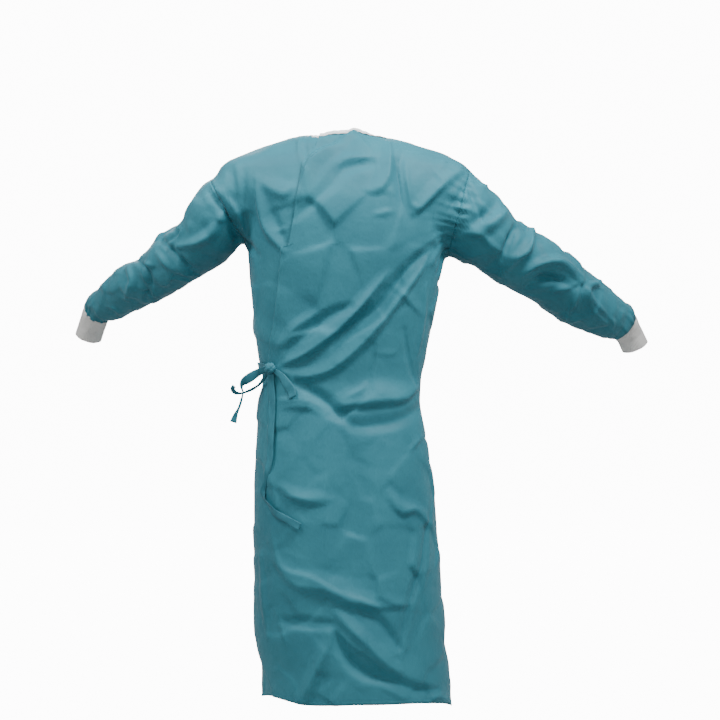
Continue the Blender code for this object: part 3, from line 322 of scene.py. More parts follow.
# And in front
FOLDS_FRONT = [
    # Chest, waist and fall
    (0.4, 0, (130, -150, 18, 3), (105, -240, 26, 7), (80, -350, 28, 7), (70, -450, 20, 3)),
    (0.4, 0, (-150, -150, 18, 3), (-120, -250, 26, 7), (-95, -340, 26, 6), (-90, -430, 20, 3)),
    (0.3, 0, (15, -130, 20, -3), (5, -240, 34, -7), (-5, -340, 34, -6), (-5, -430, 20, -3)),
    (0.5, 0, (150, -500, 18, 3), (80, -520, 28, 9), (-20, -530, 30, 10), (-110, -515, 26, 8),
     (-155, -495, 18, 3)),
    (0.5, 0, (140, -530, 16, -3), (70, -556, 24, -7), (-20, -566, 26, -8), (-120, -548, 20, -5)),
    (0.3, 0, (85, -640, 26, 3), (98, -860, 40, 9), (106, -1060, 44, 10), (110, -1235, 44, 10)),
    (0.3, 0, (0, -620, 26, -3), (-10, -860, 42, -9), (-18, -1060, 46, -10), (-20, -1240, 46, -10)),
    (0.3, 0, (-90, -640, 26, 3), (-105, -860, 38, 8), (-122, -1060, 42, 9), (-135, -1235, 42, 9)),
    # Sleeves
    (0.6, 0, (330, -205, 14, 4), (350, -235, 18, 7), (345, -275, 14, 4)),
    (0.6, 0, (440, -275, 12, 3), (450, -300, 16, 6), (440, -330, 12, 3)),
    (0.6, 0, (-345, -190, 14, 4), (-372, -228, 18, 8), (-368, -275, 14, 4)),
    (0.6, 0, (-480, -265, 14, 4), (-500, -300, 18, 7), (-495, -345, 14, 4)),
]
CREASES_FRONT = [
    (0.9, 0, (60, -70, 8, 1), (72, -120, 12, 4), (90, -180, 8, 1)),
    (0.9, 0, (-62, -74, 8, 1), (-78, -130, 12, 4), (-92, -196, 8, 1)),
    (0.9, 0, (180, -210, 8, 1), (140, -268, 14, 5), (96, -330, 8, 1)),
    (0.9, 0, (-190, -226, 8, 1), (-150, -290, 14, 5), (-110, -348, 8, 1)),
    (1, 0, (150, -430, 8, 1), (100, -468, 12, 4), (40, -490, 8, 1)),
    (1, 0, (-150, -440, 8, 1), (-96, -470, 12, 4), (-50, -498, 8, 1)),
    (1, 0, (60, -590, 8, 1), (10, -600, 12, 4), (-50, -596, 8, 1)),
    (1, 0, (140, -900, 8, 1), (90, -938, 12, 4), (30, -950, 8, 1)),
    (1, 0, (-30, -968, 8, 1), (-90, -1000, 12, 4), (-150, -996, 8, 1)),
    (0.9, 0, (120, -1060, 8, 1), (80, -1120, 12, 4), (60, -1190, 8, 1)),
    (0.9, 0, (-60, -1080, 8, 1), (-100, -1140, 12, 4), (-120, -1200, 8, 1)),
]
SLEEVE_FOLDS_FROM = 0.24
SLEEVE_DEPTH = 1.5
DEEPEST = 0.0165
UNDER_DROP = 0.012

# The flat facets of crisp cloth: how many are scattered, the share of them kept on the body, where the
# sleeves start and how much busier they are, then their height, tilt and soft edge
FACETS = 5200
FACET_SEED = 11
BODY_FACETS = 0.42
SLEEVE_FACETS_FROM = 0.25
SLEEVE_BUSY = 1.9
FACET_HEIGHT = 0.0008
FACET_TILT = 0.036
FACET_EDGE = 0.0036

# Gathers at the armholes: depth, reach from the seam, waves round it
LEFT_PUCKER = (0.0009, 0.014, 31)
RIGHT_PUCKER = (0.0026, 0.025, 27)

# The waist tie. Ribbon rows lying on the flap: x, z, gap to it, width, turn. Turns are in degrees and the
# rest in millimetres
KNOT_BASE = (0.140, -0.504)
KNOT_HALF = (0.0135, 0.0100, 0.0125)
LONG_TAIL = [
    (18, 0), (141, -536, 7, 20, 0), (140, -575, 5, 20, 0), (141, -624, 5, 19, 0),
    (142, -670, 5, 18, 0), (142, -700, 5, 17, 0), (145, -726, 5, 13, 15), (151, -750, 6, 10, 35),
    (156, -772, 7, 12, 20), (154, -785, 7, 10, -20), (146, -796, 7, 9, -35), (134, -812, 7, 14, -10),
    (108, -827, 7, 16, 0), (80, -842, 7, 15, 0),
]
SHORT_END = [
    (10, 0), (119, -522, 8, 15, 10), (108, -540, 7, 20, 0), (100, -555, 6, 21, -10),
    (96, -569, 6, 19, -15),
]
# Ribbon rows in the air: x, y, z, width, turn. A ribbon's first row, width and turn, is at the knot
BOW = [
    (12, 0), (178, 62, -516, 17, 10), (194, 62, -526, 20, 5), (207, 60, -536, 17, 20),
    (212, 56, -546, 9, 60), (209, 55, -557, 7, 65), (212, 56, -573, 7, 60), (218, 58, -592, 8, 50),
    (225, 60, -607, 11, 30), (230, 62, -623, 15, 10),
]
CURL = [
    (8, 0), (179, 46, -545, 8, 50), (199, 42, -556, 8, 55), (218, 40, -561, 8, 50),
    (229, 40, -558, 10, 30), (233, 43, -550, 10, 10), (229, 47, -544, 9, 0),
]
STRAP_SHARES = (-0.16, -0.11, -0.06, -0.02, 0.02, 0.05, 0.08)
STRAP_HEIGHT = -0.503
STRAP_WIDE = 0.021
STRAP_OFF = 0.0045
ACROSS_RIBBON = 9

# The stage: the floor's height, and its glow below the gown and beyond, by distance from the origin. The
# dimmer glow below the gown is a painted shadow, rising to the full white glow further out
FLOOR = -1.62
STAGE_COLUMNS = 32
GLOW = 12.0
PAINTED_SHADOW_GLOW = 3.0
GLOW_STARTS = 1.75
GLOW_FULL = 2.20

# The lights: name, place, aim, size, power
LIGHTS = [
    ("key", (-0.9, 1.0, 1.6), (0, 0, -0.35), 0.6, 29),
    ("front", (0.7, -3.2, 1.5), (0, 0, -0.5), 2.0, 30),
    ("top", (1.2, 0.8, 1.5), (0, 0, -0.35), 0.6, 17),
    ("fill", (0.3, 3.3, 0.4), (0, 0, -0.6), 2.4, 3),
]
LIGHT_SPREAD = 1.9
AIR_STRENGTH = 0.075


def hermite(t, h, low, high, slope_low, slope_high):
    """A cubic's value at share t of a step h long, from its two ends and their slopes."""
    start = (1 + 2 * t) * (1 - t) ** 2 * low + t * (1 - t) ** 2 * h * slope_low
    return start + t * t * (3 - 2 * t) * high + t * t * (t - 1) * h * slope_high


def spline(xs, ys, x):
    """A smooth curve through a table's points, with no waves between them."""
    order = np.argsort(xs)
    xs = np.asarray(xs, float)[order]
    ys = np.asarray(ys, float)[order]
    x = np.clip(x, xs[0], xs[-1])
    step = np.diff(xs)
    slope = np.diff(ys) / step
    same = slope[1:] * slope[:-1] > 0
    inner = np.where(same, 2 * slope[1:] * slope[:-1] / np.where(same, slope[1:] + slope[:-1], 1), 0)
    m = np.concatenate([slope[:1], inner, slope[-1:]])
    i = np.clip(np.searchsorted(xs, x) - 1, 0, len(step) - 1)
    h = step[i]
    return hermite((x - xs[i]) / h, h, ys[i], ys[i + 1], m[i], m[i + 1])


def section(z):
    return [spline(SECTIONS[:, 0], SECTIONS[:, k], z) for k in range(1, 6)]


def unit(v):
    return v / np.maximum(np.linalg.norm(v, axis=-1, keepdims=True), 1e-12)


def ease(t):
    t = np.clip(t, 0, 1)
    return t * t * (3 - 2 * t)


def distances(line):
    """How far along a line of points each one lies."""
    return np.concatenate([[0], np.cumsum(np.linalg.norm(np.diff(line[:, :3], axis=0), axis=1))])


def smooth_line(rows, count):
    """A table of points as a smooth line of count points."""
    at = distances(rows)
    fine = np.linspace(0, at[-1], count)
    tangent = np.gradient(rows, at, axis=0)
    i = np.clip(np.searchsorted(at, fine) - 1, 0, len(at) - 2)
    h = (at[i + 1] - at[i])[:, None]
    t = (fine - at[i])[:, None] / h
    return hermite(t, h, rows[i], rows[i + 1], tangent[i], tangent[i + 1])


LEFT_LINE = smooth_line(LEFT_ARM, 22)
RIGHT_LINE = smooth_line(RIGHT_ARM, 22)


def arm_field(p, line):
    """How far each point lies outside the arm's skin."""
    best = np.full(len(p), 9.0)
    for a, b in zip(line[:-1], line[1:]):
        along = b[:3] - a[:3]
        t = np.clip((p - a[:3]) @ along / (along @ along), 0, 1)
        away = np.linalg.norm(p - a[:3] - t[:, None] * along, axis=1)
        best = np.minimum(best, away - (a[3] + t * (b[3] - a[3])))
    return best


def body_radius(p):
    cx, half, back, front, square = section(p[:, 2])
    x = p[:, 0] - cx
    y = p[:, 1]
    rho = np.maximum(np.hypot(x, y), 1e-6)
    deep = np.where(y > 0, back, front)
    share = (np.abs(x / half) ** square + np.abs(y / deep) ** square) ** (1 / square)
    return rho, rho / np.maximum(share, 1e-6)


def body_field(p):
    rho, skin = body_radius(p)
    lift = np.array([0, 0, 0.002])
    slope = (body_radius(p + lift)[1] - body_radius(p - lift)[1]) / 0.004
    return (rho - skin) / np.sqrt(1 + np.clip(slope, -4, 4) ** 2)


def joined(a, b):
    h = np.maximum(BLEND - np.abs(a - b), 0) / BLEND
    return np.minimum(a, b) - h * h * BLEND / 4


def field(p):
    """How far each point lies outside the gown's skin. The arms are only looked at near them."""
    body = body_field(p)
    arms = np.full(len(p), 9.0)
    for side, line in ((1, LEFT_LINE), (-1, RIGHT_LINE)):
        near = (side * p[:, 0] > 0.09) & (p[:, 2] > -0.56)
        if near.any():
            arms[near] = arm_field(p[near], line)
    return joined(body, arms)


def slope_of(p):
    step = 0.0015
    parts = []
    for axis in np.eye(3) * step:
        parts.append((field(p + axis) - field(p - axis)) / (2 * step))
    return np.stack(parts, axis=1)


def snap(p, rounds=5):
    """The points moved onto the gown's skin."""
    p = p.copy()
    for _ in range(rounds):
        g = slope_of(p)
        p -= np.clip(field(p), -0.03, 0.03)[:, None] * g / np.maximum((g * g).sum(axis=1), 0.2)[:, None]
    return p


def crossing(start, way, reach):
    """Where lines from inside first leave the skin."""
    start = np.broadcast_to(start, way.shape)
    far = np.linspace(0, reach, 33)
    values = np.stack([field(start + way * r) for r in far])
    first = np.argmax(values > 0, axis=0)
    first = np.where(values.max(axis=0) > 0, np.maximum(first, 1), len(far) - 1)
    low = far[first - 1]
    high = far[first]
    for _ in range(16):
        middle = (low + high) / 2
        inside = field(start + way * middle[:, None]) <= 0
        low = np.where(inside, middle, low)
        high = np.where(inside, high, middle)
    return start + way * ((low + high) / 2)[:, None]


def crest(x):
    """The top of the shoulders at each distance from the middle."""
    x = np.atleast_1d(x)
    start = np.stack([x, np.zeros_like(x), np.full_like(x, -0.160)], axis=1)
    return crossing(start, np.tile([0, 0, 1.0], (len(x), 1)), 0.20)


def neck(degrees):
    degrees = np.atleast_1d(np.asarray(degrees, float)) % 360
    z = spline(NECK[:, 0], NECK[:, 1], degrees)
    angle = np.radians(degrees)
    start = np.stack([np.full_like(z, -0.002), np.zeros_like(z), z], axis=1)
    way = np.stack([np.cos(angle), np.sin(angle), np.zeros_like(z)], axis=1)
    return crossing(start, way, 0.16)


def hem_height(u):
    return spline(HEM[:, 0], HEM[:, 1], u)


def underarm_height(u):
    return -0.242 - 0.007 * np.cos(np.pi * u)


def lower(u, v):
    """A point below the arms: u is the way round (0 left, 0.5 back, 1 right), v -1 hem to 0 underarm."""
    u = np.asarray(u, float)
    shape = u.shape
    v = np.broadcast_to(v, shape).reshape(-1)
    u = u.reshape(-1)
    z = (1 + v) * underarm_height(u) - v * hem_height(u)
    cx, half, back, front, square = section(z)
    c = np.cos(np.pi * u)
    s = np.sin(np.pi * u)
    out = (np.abs(c) ** square + np.abs(s) ** square) ** (-1 / square)
    deep = np.where(s > 0, back, front)
    return snap(np.stack([cx + half * c * out, deep * s * out, z], axis=1)).reshape(*shape, 3)


class Armhole:
    """The seam round one arm: 0 degrees under it, 90 behind, 180 on the shoulder."""

    def __init__(self, bottom, top):
        self.middle = (bottom + top) / 2
        self.half = np.linalg.norm(top - bottom) / 2
        self.up = unit(top - bottom)
        self.back = np.array([0, 1.0, 0])
        self.back = unit(self.back - (self.back @ self.up) * self.up)
        self.through = np.cross(self.up, self.back)

    def at(self, degrees):
        a = np.radians(np.atleast_1d(degrees))[:, None]
        way = -np.cos(a) * self.up + np.sin(a) * self.back
        return crossing(self.middle, way, 0.20)

    def pucker(self, p, deep, reach, waves):
        """Small gathers along the seam, on both sides of it."""
        away = p - self.middle
        off = np.abs(away @ self.through)
        turn = np.arctan2(away @ self.back, -(away @ self.up))
        near = np.linalg.norm(away, axis=1) < 1.6 * self.half
        wave = np.sin(waves * turn + 1.7 * np.sin(5 * turn)) + 0.6 * np.sin(1.7 * waves * turn + 2)
        return np.where(near, deep * wave * np.exp(-off / reach), 0)


UNDERARM = lower(np.array([0.0, 1.0]), 0.0)
SHOULDERS = crest(np.array([LEFT_SHOULDER_X, RIGHT_SHOULDER_X]))
LEFT_HOLE = Armhole(UNDERARM[0], SHOULDERS[0])
RIGHT_HOLE = Armhole(UNDERARM[1], SHOULDERS[1])


def top_edge(u, behind):
    """The shoulder seams and the neck edge between them, u 0 at the left armhole to 1 at the right."""
    left, right = neck([0.0, 180.0])
    turn = 180 * np.clip((u - NECK_START) / (NECK_END - NECK_START), 0, 1)
    points = neck(turn if behind else 360 - turn)
    on_left = u < NECK_START
    on_right = u > NECK_END
    reach = LEFT_SHOULDER_X + (left[0] - LEFT_SHOULDER_X) * u[on_left] / NECK_START
    points[on_left] = crest(reach)
    reach = RIGHT_SHOULDER_X + (right[0] - RIGHT_SHOULDER_X) * (1 - u[on_right]) / (1 - NECK_END)
    points[on_right] = crest(reach)
    return points


def upper(u, v, behind):
    """A panel above the arms, as a patch between its four edges: a grid, v 0 underarm to 1 shoulder."""
    floor = lower(u if behind else 2 - u, 0.0)
    top = top_edge(u, behind)
    turn = 180 * v if behind else 360 - 180 * v
    left = LEFT_HOLE.at(turn)
    right = RIGHT_HOLE.at(turn)
    a = u[None, :, None]
    b = v[:, None, None]
    grid = (1 - b) * floor[None] + b * top[None] + (1 - a) * left[:, None] + a * right[:, None]
    grid -= (1 - b) * ((1 - a) * left[0] + a * right[0]) + b * ((1 - a) * left[-1] + a * right[-1])
    inside = snap(grid.reshape(-1, 3)).reshape(grid.shape)
    inside[0] = floor
    inside[-1] = top
    inside[:, 0] = left
    inside[:, -1] = right
    return inside


def along_row(points, share, wanted):
    """Points of one row at the wanted shares."""
    return np.stack([np.interp(wanted, share, points[:, k]) for k in range(3)], axis=1)


LOWER_V = np.linspace(-1, 0, LOWER_ROWS)
UPPER_V = np.linspace(0, 1, UPPER_ROWS)
SHOULDER_U = np.linspace(0, NECK_START, SHOULDER_COLUMNS)


def laid(x, z, side):
    """The gown's points met from behind (side 1) or in front (side -1) at x and z."""
    x = np.asarray(x, float)
    z = np.asarray(z, float)
    near = np.linspace(0.26, -0.42, 137)
    values = []
    for y in near:
        values.append(field(np.stack([x, np.zeros_like(x) + side * y, z], axis=1)))
    first = np.maximum(np.argmax(np.array(values) < 0, axis=0), 1)
    out = near[first - 1]
    inside = near[first]
    for _ in range(14):
        middle = (out + inside) / 2
        hit = field(np.stack([x, side * middle, z], axis=1)) < 0
        inside = np.where(hit, middle, inside)
        out = np.where(hit, out, middle)
    return np.stack([x, side * (out + inside) / 2, z], axis=1)


def fold_lines():
    """Every fold: crispness, lean, and its smoothed points on the gown with half widths and heights."""
    plans = []
    spots = []
    tables = ((FOLDS_BEHIND, 1), (CREASES_BEHIND, 1), (FOLDS_FRONT, -1), (CREASES_FRONT, -1))
    for table, side in tables:
        for crisp, lean, *rows in table:
            rows = np.array(rows, float) / 1000
            if np.abs(rows[:, 0]).min() > SLEEVE_FOLDS_FROM:
                rows[:, 3] *= SLEEVE_DEPTH
            flat = np.hstack([rows[:, :2], np.zeros((len(rows), 1)), rows[:, 2:]])
            fine = smooth_line(flat, 4 * len(rows))
            plans.append((crisp, lean, fine))
            spots.append(np.hstack([fine[:, :2], np.full((len(fine), 1), side)]))
    spots = np.concatenate(spots)
    points = laid(spots[:, 0], spots[:, 1], spots[:, 2])
    lines = []
    for crisp, lean, fine in plans:
        lines.append((crisp, lean, np.hstack([points[:len(fine)], fine[:, 3:]])))
        points = points[len(fine):]
    return lines


FOLD_LINES = fold_lines()


def folds(p, normal):
    """How far the folds lift or sink each point."""
    total = np.zeros(len(p))
    for crisp, lean, line in FOLD_LINES:
        widest = line[:, 3].max() * (1 + abs(lean))
        low = line[:, :3].min(axis=0) - widest
        high = line[:, :3].max(axis=0) + widest
        near = np.flatnonzero(((p > low) & (p < high)).all(axis=1))
        if not len(near):
            continue
        q = p[near]
        n = normal[near]
        up = np.zeros(len(q))
        down = np.zeros(len(q))
        for a, b in zip(line[:-1], line[1:]):
            along = b[:3] - a[:3]
            t = np.clip((q - a[:3]) @ along / (along @ along), 0, 1)
            offset = q - a[:3] - t[:, None] * along
            away = np.linalg.norm(offset, axis=1)
            half = a[3] + t * (b[3] - a[3])
            if lean:
                reach = np.maximum(away * np.linalg.norm(along), 1e-9)
                hand = (np.cross(along, offset) * n).sum(axis=1) / reach
                half = half * (1 + lean * hand)
            r = np.clip(away / half, 0, 1)
            sharp = 0.35 + 0.65 * crisp
            shape = (1 - sharp) * (1 - r * r) ** 2 + sharp * (1 - r) ** 1.3
            bump = (a[4] + t * (b[4] - a[4])) * shape
            up = np.maximum(up, bump)
            down = np.minimum(down, bump)
        total[near] += up + down
    return np.clip(total, -DEEPEST, DEEPEST)


def facet_seeds():
    """Points scattered over the gown, each the middle of one flat facet of the cloth."""
    rng = np.random.default_rng(FACET_SEED)
    low = np.array(CAD_BOX[0])
    high = np.array(CAD_BOX[1])
    points = rng.uniform(low, high, (FACETS, 3))
    points = points[np.abs(field(points)) < 0.05]
    sleeve = np.abs(points[:, 0]) > SLEEVE_FACETS_FROM
    kept = sleeve | (rng.uniform(0, 1, len(points)) < BODY_FACETS)
    points = snap(points[kept], 3)
    busy = np.where(sleeve[kept], SLEEVE_BUSY, 1.0)
    lifts = rng.normal(0, 1, len(points)) * busy
    tilts = rng.normal(0, 1, (len(points), 3)) * busy[:, None]
    return points, lifts, tilts


SEEDS = facet_seeds()


def crumple(p):
    """Flat facets with soft edges, as crisp cloth takes."""
    points, lifts, tilts = SEEDS
    found = np.zeros(len(p))
    for start in range(0, len(p), 4000):
        q = p[start:start + 4000]
        square = (q * q).sum(axis=1)[:, None] + (points * points).sum(axis=1)[None] - 2 * q @ points.T
        away = np.sqrt(np.maximum(square, 0))
        nearest = away.min(axis=1, keepdims=True)
        row, column = np.nonzero(away < nearest + 5 * FACET_EDGE)
        weight = np.exp(-(away[row, column] - nearest[row, 0]) / FACET_EDGE)
        tilted = ((q[row] - points[column]) * tilts[column]).sum(axis=1)
        value = FACET_HEIGHT * lifts[column] + FACET_TILT * tilted
        top = np.bincount(row, weight * value, len(q))
        found[start:start + 4000] = top / np.bincount(row, weight, len(q))
    return found


def raised(base, out, folded=1.0):
    """A grid's cloth from its points on the gown: out is how far its outer side lies off them."""
    flat = base.reshape(-1, 3)
    normal = unit(slope_of(flat))
    share = np.broadcast_to(folded, base.shape[:-1]).reshape(-1)
    lift = folds(flat, normal) * share + np.broadcast_to(out, base.shape[:-1]).reshape(-1)
    lift += crumple(flat) * (0.3 + 0.7 * share)
    lift += LEFT_HOLE.pucker(flat, *LEFT_PUCKER) * share
    lift += RIGHT_HOLE.pucker(flat, *RIGHT_PUCKER) * share
    return (flat + normal * lift[:, None]).reshape(base.shape)


def cloth_material(name, light, dark, sheen, weave, grain):
    """Crisp unwoven cloth: soft clouds of colour, pressed dots, a fine fibre grain and small creases."""
    made = bpy.data.materials.new(name)
    made.use_nodes = True
    tree = made.node_tree
    shader = tree.nodes["Principled BSDF"]
    place = tree.nodes.new("ShaderNodeTexCoord")

    def noise(scale, detail, rough=0.5):
        node = tree.nodes.new("ShaderNodeTexNoise")
        node.inputs["Scale"].default_value = scale
        node.inputs["Detail"].default_value = detail
        node.inputs["Roughness"].default_value = rough
        tree.links.new(place.outputs["Object"], node.inputs["Vector"])
        return node

    def bump(height, strength, distance, under=None):
        node = tree.nodes.new("ShaderNodeBump")
        node.inputs["Strength"].default_value = strength
        node.inputs["Distance"].default_value = distance
        tree.links.new(height, node.inputs["Height"])
        if under:
            tree.links.new(under.outputs["Normal"], node.inputs["Normal"])
        return node

    clouds = noise(9, 3)
    ramp = tree.nodes.new("ShaderNodeValToRGB")
    ramp.color_ramp.elements[0].position = 0.30
    ramp.color_ramp.elements[1].position = 0.72
    ramp.color_ramp.elements[0].color = (*dark, 1)
    ramp.color_ramp.elements[1].color = (*light, 1)
    tree.links.new(clouds.outputs["Fac"], ramp.inputs["Fac"])
    speck = noise(700, 2, 0.6)
    fleck = tree.nodes.new("ShaderNodeMix")
    fleck.data_type = "RGBA"
    fleck.blend_type = "MULTIPLY"
    fleck.inputs["Factor"].default_value = 0.16
    tree.links.new(ramp.outputs["Color"], fleck.inputs[6])
    grey = tree.nodes.new("ShaderNodeRGBToBW")
    tree.links.new(speck.outputs["Color"], grey.inputs["Color"])
    tree.links.new(grey.outputs["Val"], fleck.inputs[7])
    tree.links.new(fleck.outputs[2], shader.inputs["Base Color"])

    creases = noise(26, 4, 0.55)
    fibres = noise(520, 3, 0.7)
    dots = tree.nodes.new("ShaderNodeTexVoronoi")
    dots.feature = "F1"
    dots.inputs["Scale"].default_value = 620
    tree.links.new(place.outputs["Object"], dots.inputs["Vector"])
    first = bump(creases.outputs["Fac"], 0.55, 0.0035)
    second = bump(dots.outputs["Distance"], weave, 0.0004, first)
    third = bump(fibres.outputs["Fac"], grain, 0.0003, second)
    tree.links.new(third.outputs["Normal"], shader.inputs["Normal"])
    shader.inputs["Roughness"].default_value = 0.62
    shader.inputs["Specular IOR Level"].default_value = 0.28
    shader.inputs["Sheen Weight"].default_value = sheen
    shader.inputs["Sheen Roughness"].default_value = 0.45
    return made


GOWN = cloth_material("gown_cloth", (0.035, 0.212, 0.276), (0.026, 0.172, 0.229), 0.05, 0.35, 0.25)
KNIT = cloth_material("knit_cuff", (0.80, 0.80, 0.78), (0.72, 0.72, 0.70), 0.35, 0.5, 0.4)
TAPE = cloth_material("binding", (0.86, 0.88, 0.89), (0.78, 0.81, 0.83), 0.2, 0.3, 0.25)
TIE = cloth_material("tie_cloth", (0.031, 0.188, 0.246), (0.024, 0.153, 0.205), 0.05, 0.35, 0.25)


def smooth_object(name, points, faces, material):
    mesh = bpy.data.meshes.new(name)
    mesh.from_pydata([tuple(map(float, v)) for v in points], [], faces)
    for polygon in mesh.polygons:
        polygon.use_smooth = True
    mesh.materials.append(material)
    made = bpy.data.objects.new(name, mesh)
    bpy.context.scene.collection.objects.link(made)
    return made


def grid_faces(rows, columns, ring):
    """The quads of a grid of points. A ring's last column joins its first."""
    faces = []
    for i in range(rows - 1):
        for j in range(columns if ring else columns - 1):
            k = (j + 1) % columns
            faces.append((i * columns + j, i * columns + k, (i + 1) * columns + k, (i + 1) * columns + j))
    return faces


def piece(name, points, faces, material, nodes, thick=CLOTH):
    """One visible piece on the frame, given its wall unless thick is 0."""
    made = smooth_object(name, points, faces, material)
    if thick:
        solid = made.modifiers.new("thickness", "SOLIDIFY")
        solid.thickness = thick
        solid.offset = -1
        solid.use_even_offset = False
    if nodes:
        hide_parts(*nodes)
    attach(made, "root")
    return made


def sheet_piece(name, grid, material, node, ring=False, thick=CLOTH, outward=None):
    """A piece from a grid of points, faced outward."""
    faces = grid_faces(*grid.shape[:2], ring)
    a, b, c, d = [grid.reshape(-1, 3)[index] for index in faces[len(faces) // 2]]
    middle = (a + b + c + d) / 4
    way = slope_of(middle[None])[0] if outward is None else outward
    if np.cross(c - a, d - b) @ way < 0:
        faces = [face[::-1] for face in faces]
    return piece(name, grid.reshape(-1, 3), faces, material, [node], thick)


def inset(grid, off):
    """The line that runs off metres in from a grid's first column."""
    return np.array([along_row(row[:40], distances(row[:40]), [off])[0] for row in grid])


def stitches(name, paths, material):
    """Rows of small raised stitches along lines on the cloth."""
    points = []
    faces = []
    for path in paths:
        at = distances(path)
        starts = np.arange(0.002, at[-1] - 0.004, STITCH_PITCH)
        first = along_row(path, at, starts)
        last = along_row(path, at, starts + STITCH_SHARE * STITCH_PITCH)
        middle = (first + last) / 2
        normal = unit(slope_of(middle))
        across = unit(np.cross(last - first, normal)) * STITCH_HALF
        for a, b, m, s, n in zip(first, last, middle, across, normal):
            k = len(points)
            points += [a, b, m + s, m - s, m + n * STITCH_HIGH, m - n * STITCH_DEEP]
            for low, high in ((0, 2), (2, 1), (1, 3), (3, 0)):
                faces += [(k + low, k + high, k + 4), (k + high, k + low, k + 5)]
    return piece(name, points, faces, material, [], 0)


def lap(u):
    """How far the outer flap stands off the gown's skin."""
    return LAP * ease((NECK_END - np.asarray(u)) / 0.35)


def flap_edge(z):
    return spline(EDGE_BELOW[:, 0], EDGE_BELOW[:, 1], z)


def row_edge(u, row):
    """Where a row above the arms meets the outer flap's free edge."""
    ahead = row[:, 0] - spline(EDGE_ABOVE[:, 0], EDGE_ABOVE[:, 1], row[:, 2])
    passed = np.argmax(ahead < 0)
    low = ahead[passed - 1]
    high = ahead[passed]
    return u[passed - 1] + (u[passed] - u[passed - 1]) * low / (low - high)


def under_edge(v):
    return UNDER_EDGE_NECK + (UNDER_EDGE_HEM - UNDER_EDGE_NECK) * (1 - v) / 2


def panel_grid(starts, ends, count, behind, fixed_start=None, fixed_end=None):
    """A panel's points and their shares, row by row, from the hem to the shoulder."""
    shares = []
    for start, end in zip(starts, ends):
        low = start if fixed_start is None else fixed_start[-1]
        high = end if fixed_end is None else fixed_end[0]
        middle = np.linspace(low, high, count)
        parts = [middle]
        if fixed_start is not None:
            parts.insert(0, fixed_start[:-1])
        if fixed_end is not None:
            parts.append(fixed_end[1:])
        shares.append(np.concatenate(parts))
    shares = np.array(shares)
    below = list(lower(shares[:LOWER_ROWS], LOWER_V[:, None]))
    fine = np.unique(np.concatenate([np.linspace(0, 1, 97), SHOULDER_U, 1 - SHOULDER_U]))
    patch = upper(fine, UPPER_V, behind)
    above = []
    for row, u, v in zip(patch[1:], shares[LOWER_ROWS:], UPPER_V[1:]):
        place = u if behind else 2 - u
        points = along_row(row, fine, place)
        if v < 1:
            points = snap(points, 2)
            points[place <= 0] = row[0]
            points[place >= 1] = row[-1]
        above.append(points)
    return np.array(below + above), shares


def back_starts():
    """The outer flap's free edge, as a share of the way round for each row."""
    u = np.full(LOWER_ROWS, 0.2)
    for _ in range(14):
        z = (1 + LOWER_V) * underarm_height(u) - LOWER_V * hem_height(u)
        u = flap_edge(z)
    fine = np.linspace(0, 1, 121)
    patch = upper(fine, UPPER_V, True)
    return np.concatenate([u, [row_edge(fine, row) for row in patch[1:]]])


STARTS = back_starts()
ROWS = LOWER_ROWS + UPPER_ROWS - 1


def build_panels():
    v_all = np.concatenate([LOWER_V, UPPER_V[1:]])
    seams = 1 - SHOULDER_U[::-1]
    flap, flap_u = panel_grid(STARTS, np.ones(ROWS), FLAP_COLUMNS, True, fixed_end=seams)
    flap = raised(flap, lap(flap_u))
    right = sheet_piece("right_back", flap, GOWN, "back_right_panel")

    ends = under_edge(v_all)
    under, under_u = panel_grid(np.zeros(ROWS), ends, UNDER_COLUMNS, True, fixed_start=SHOULDER_U)
    hidden = ease((under_u - STARTS[:, None] - 0.01) / 0.10)
    under = raised(under, lap(under_u) - LAP - UNDER_DROP * hidden, 1 - hidden)
    left = sheet_piece("left_back", under, GOWN, "back_left_panel")

    start = 1 + SHOULDER_U
    end = 2 - SHOULDER_U[::-1]
    front, front_u = panel_grid(np.ones(ROWS), np.full(ROWS, 2.0), FRONT_COLUMNS, False, start, end)
    front = raised(front, np.zeros(front_u.shape))
    fore = sheet_piece("front", front, GOWN, "front_panel")
    shown = under[:, :UNDER_COLUMNS // 3]
    rows = [inset(flap, EDGE_STITCH)]
    for panel in (flap, front, shown):
        rows.append(inset(panel.transpose(1, 0, 2), HEM_STITCH))
    for panel in (flap, front):
        rows.append(inset(panel[:LOWER_ROWS, ::-1], SEAM_STITCH))
    stitches("panel_stitches", rows, TIE)
    return right, left, fore


def arm_rings(hole, line, stops, turns):
    """Rings of skin points from the armhole along an arm, at distances from its start."""
    at = distances(line)
    middle = along_row(line, at, stops)
    radius = np.interp(stops, at, line[:, 3])[:, None]
    way = unit(along_row(unit(np.gradient(line[:, :3], at, axis=0)), at, stops))
    back = unit(np.array([0, 1.0, 0]) - way[:, 1:2] * way)
    up = unit(np.cross(way, back))
    up *= np.sign(up[:, 2:])
    first = (1 - ease((stops - stops[0]) / 0.13))[:, None]
    low = middle - up * radius
    low += (hole.middle - hole.up * hole.half - low[0]) * first
    high = middle + up * radius
    high += (hole.middle + hole.up * hole.half - high[0]) * first
    seam = unit(np.cross(hole.up, hole.back))
    seam *= np.sign(seam @ way[0])
    turned = (1 - first) * way + first * seam
    up = unit(high - low)
    normal = unit(turned - (turned * up).sum(axis=1, keepdims=True) * up)
    back = np.cross(normal, up)
    back *= np.sign(back[:, 1:2])
    a = np.radians(turns)[None, :, None]
    ways = -np.cos(a) * up[:, None] + np.sin(a) * back[:, None]
    starts = np.broadcast_to((low + high)[:, None] / 2, ways.shape)
    rings = crossing(starts.reshape(-1, 3), ways.reshape(-1, 3), 0.13).reshape(ways.shape)
    rings[0] = hole.at(turns)
    return rings


def arm_stops(hole, line, cuff_length):
    at = distances(line)
    nearest = np.argmin(np.linalg.norm(line[:, :3] - hole.middle, axis=1))
    return at[nearest], at[-1] - cuff_length, at[-1]


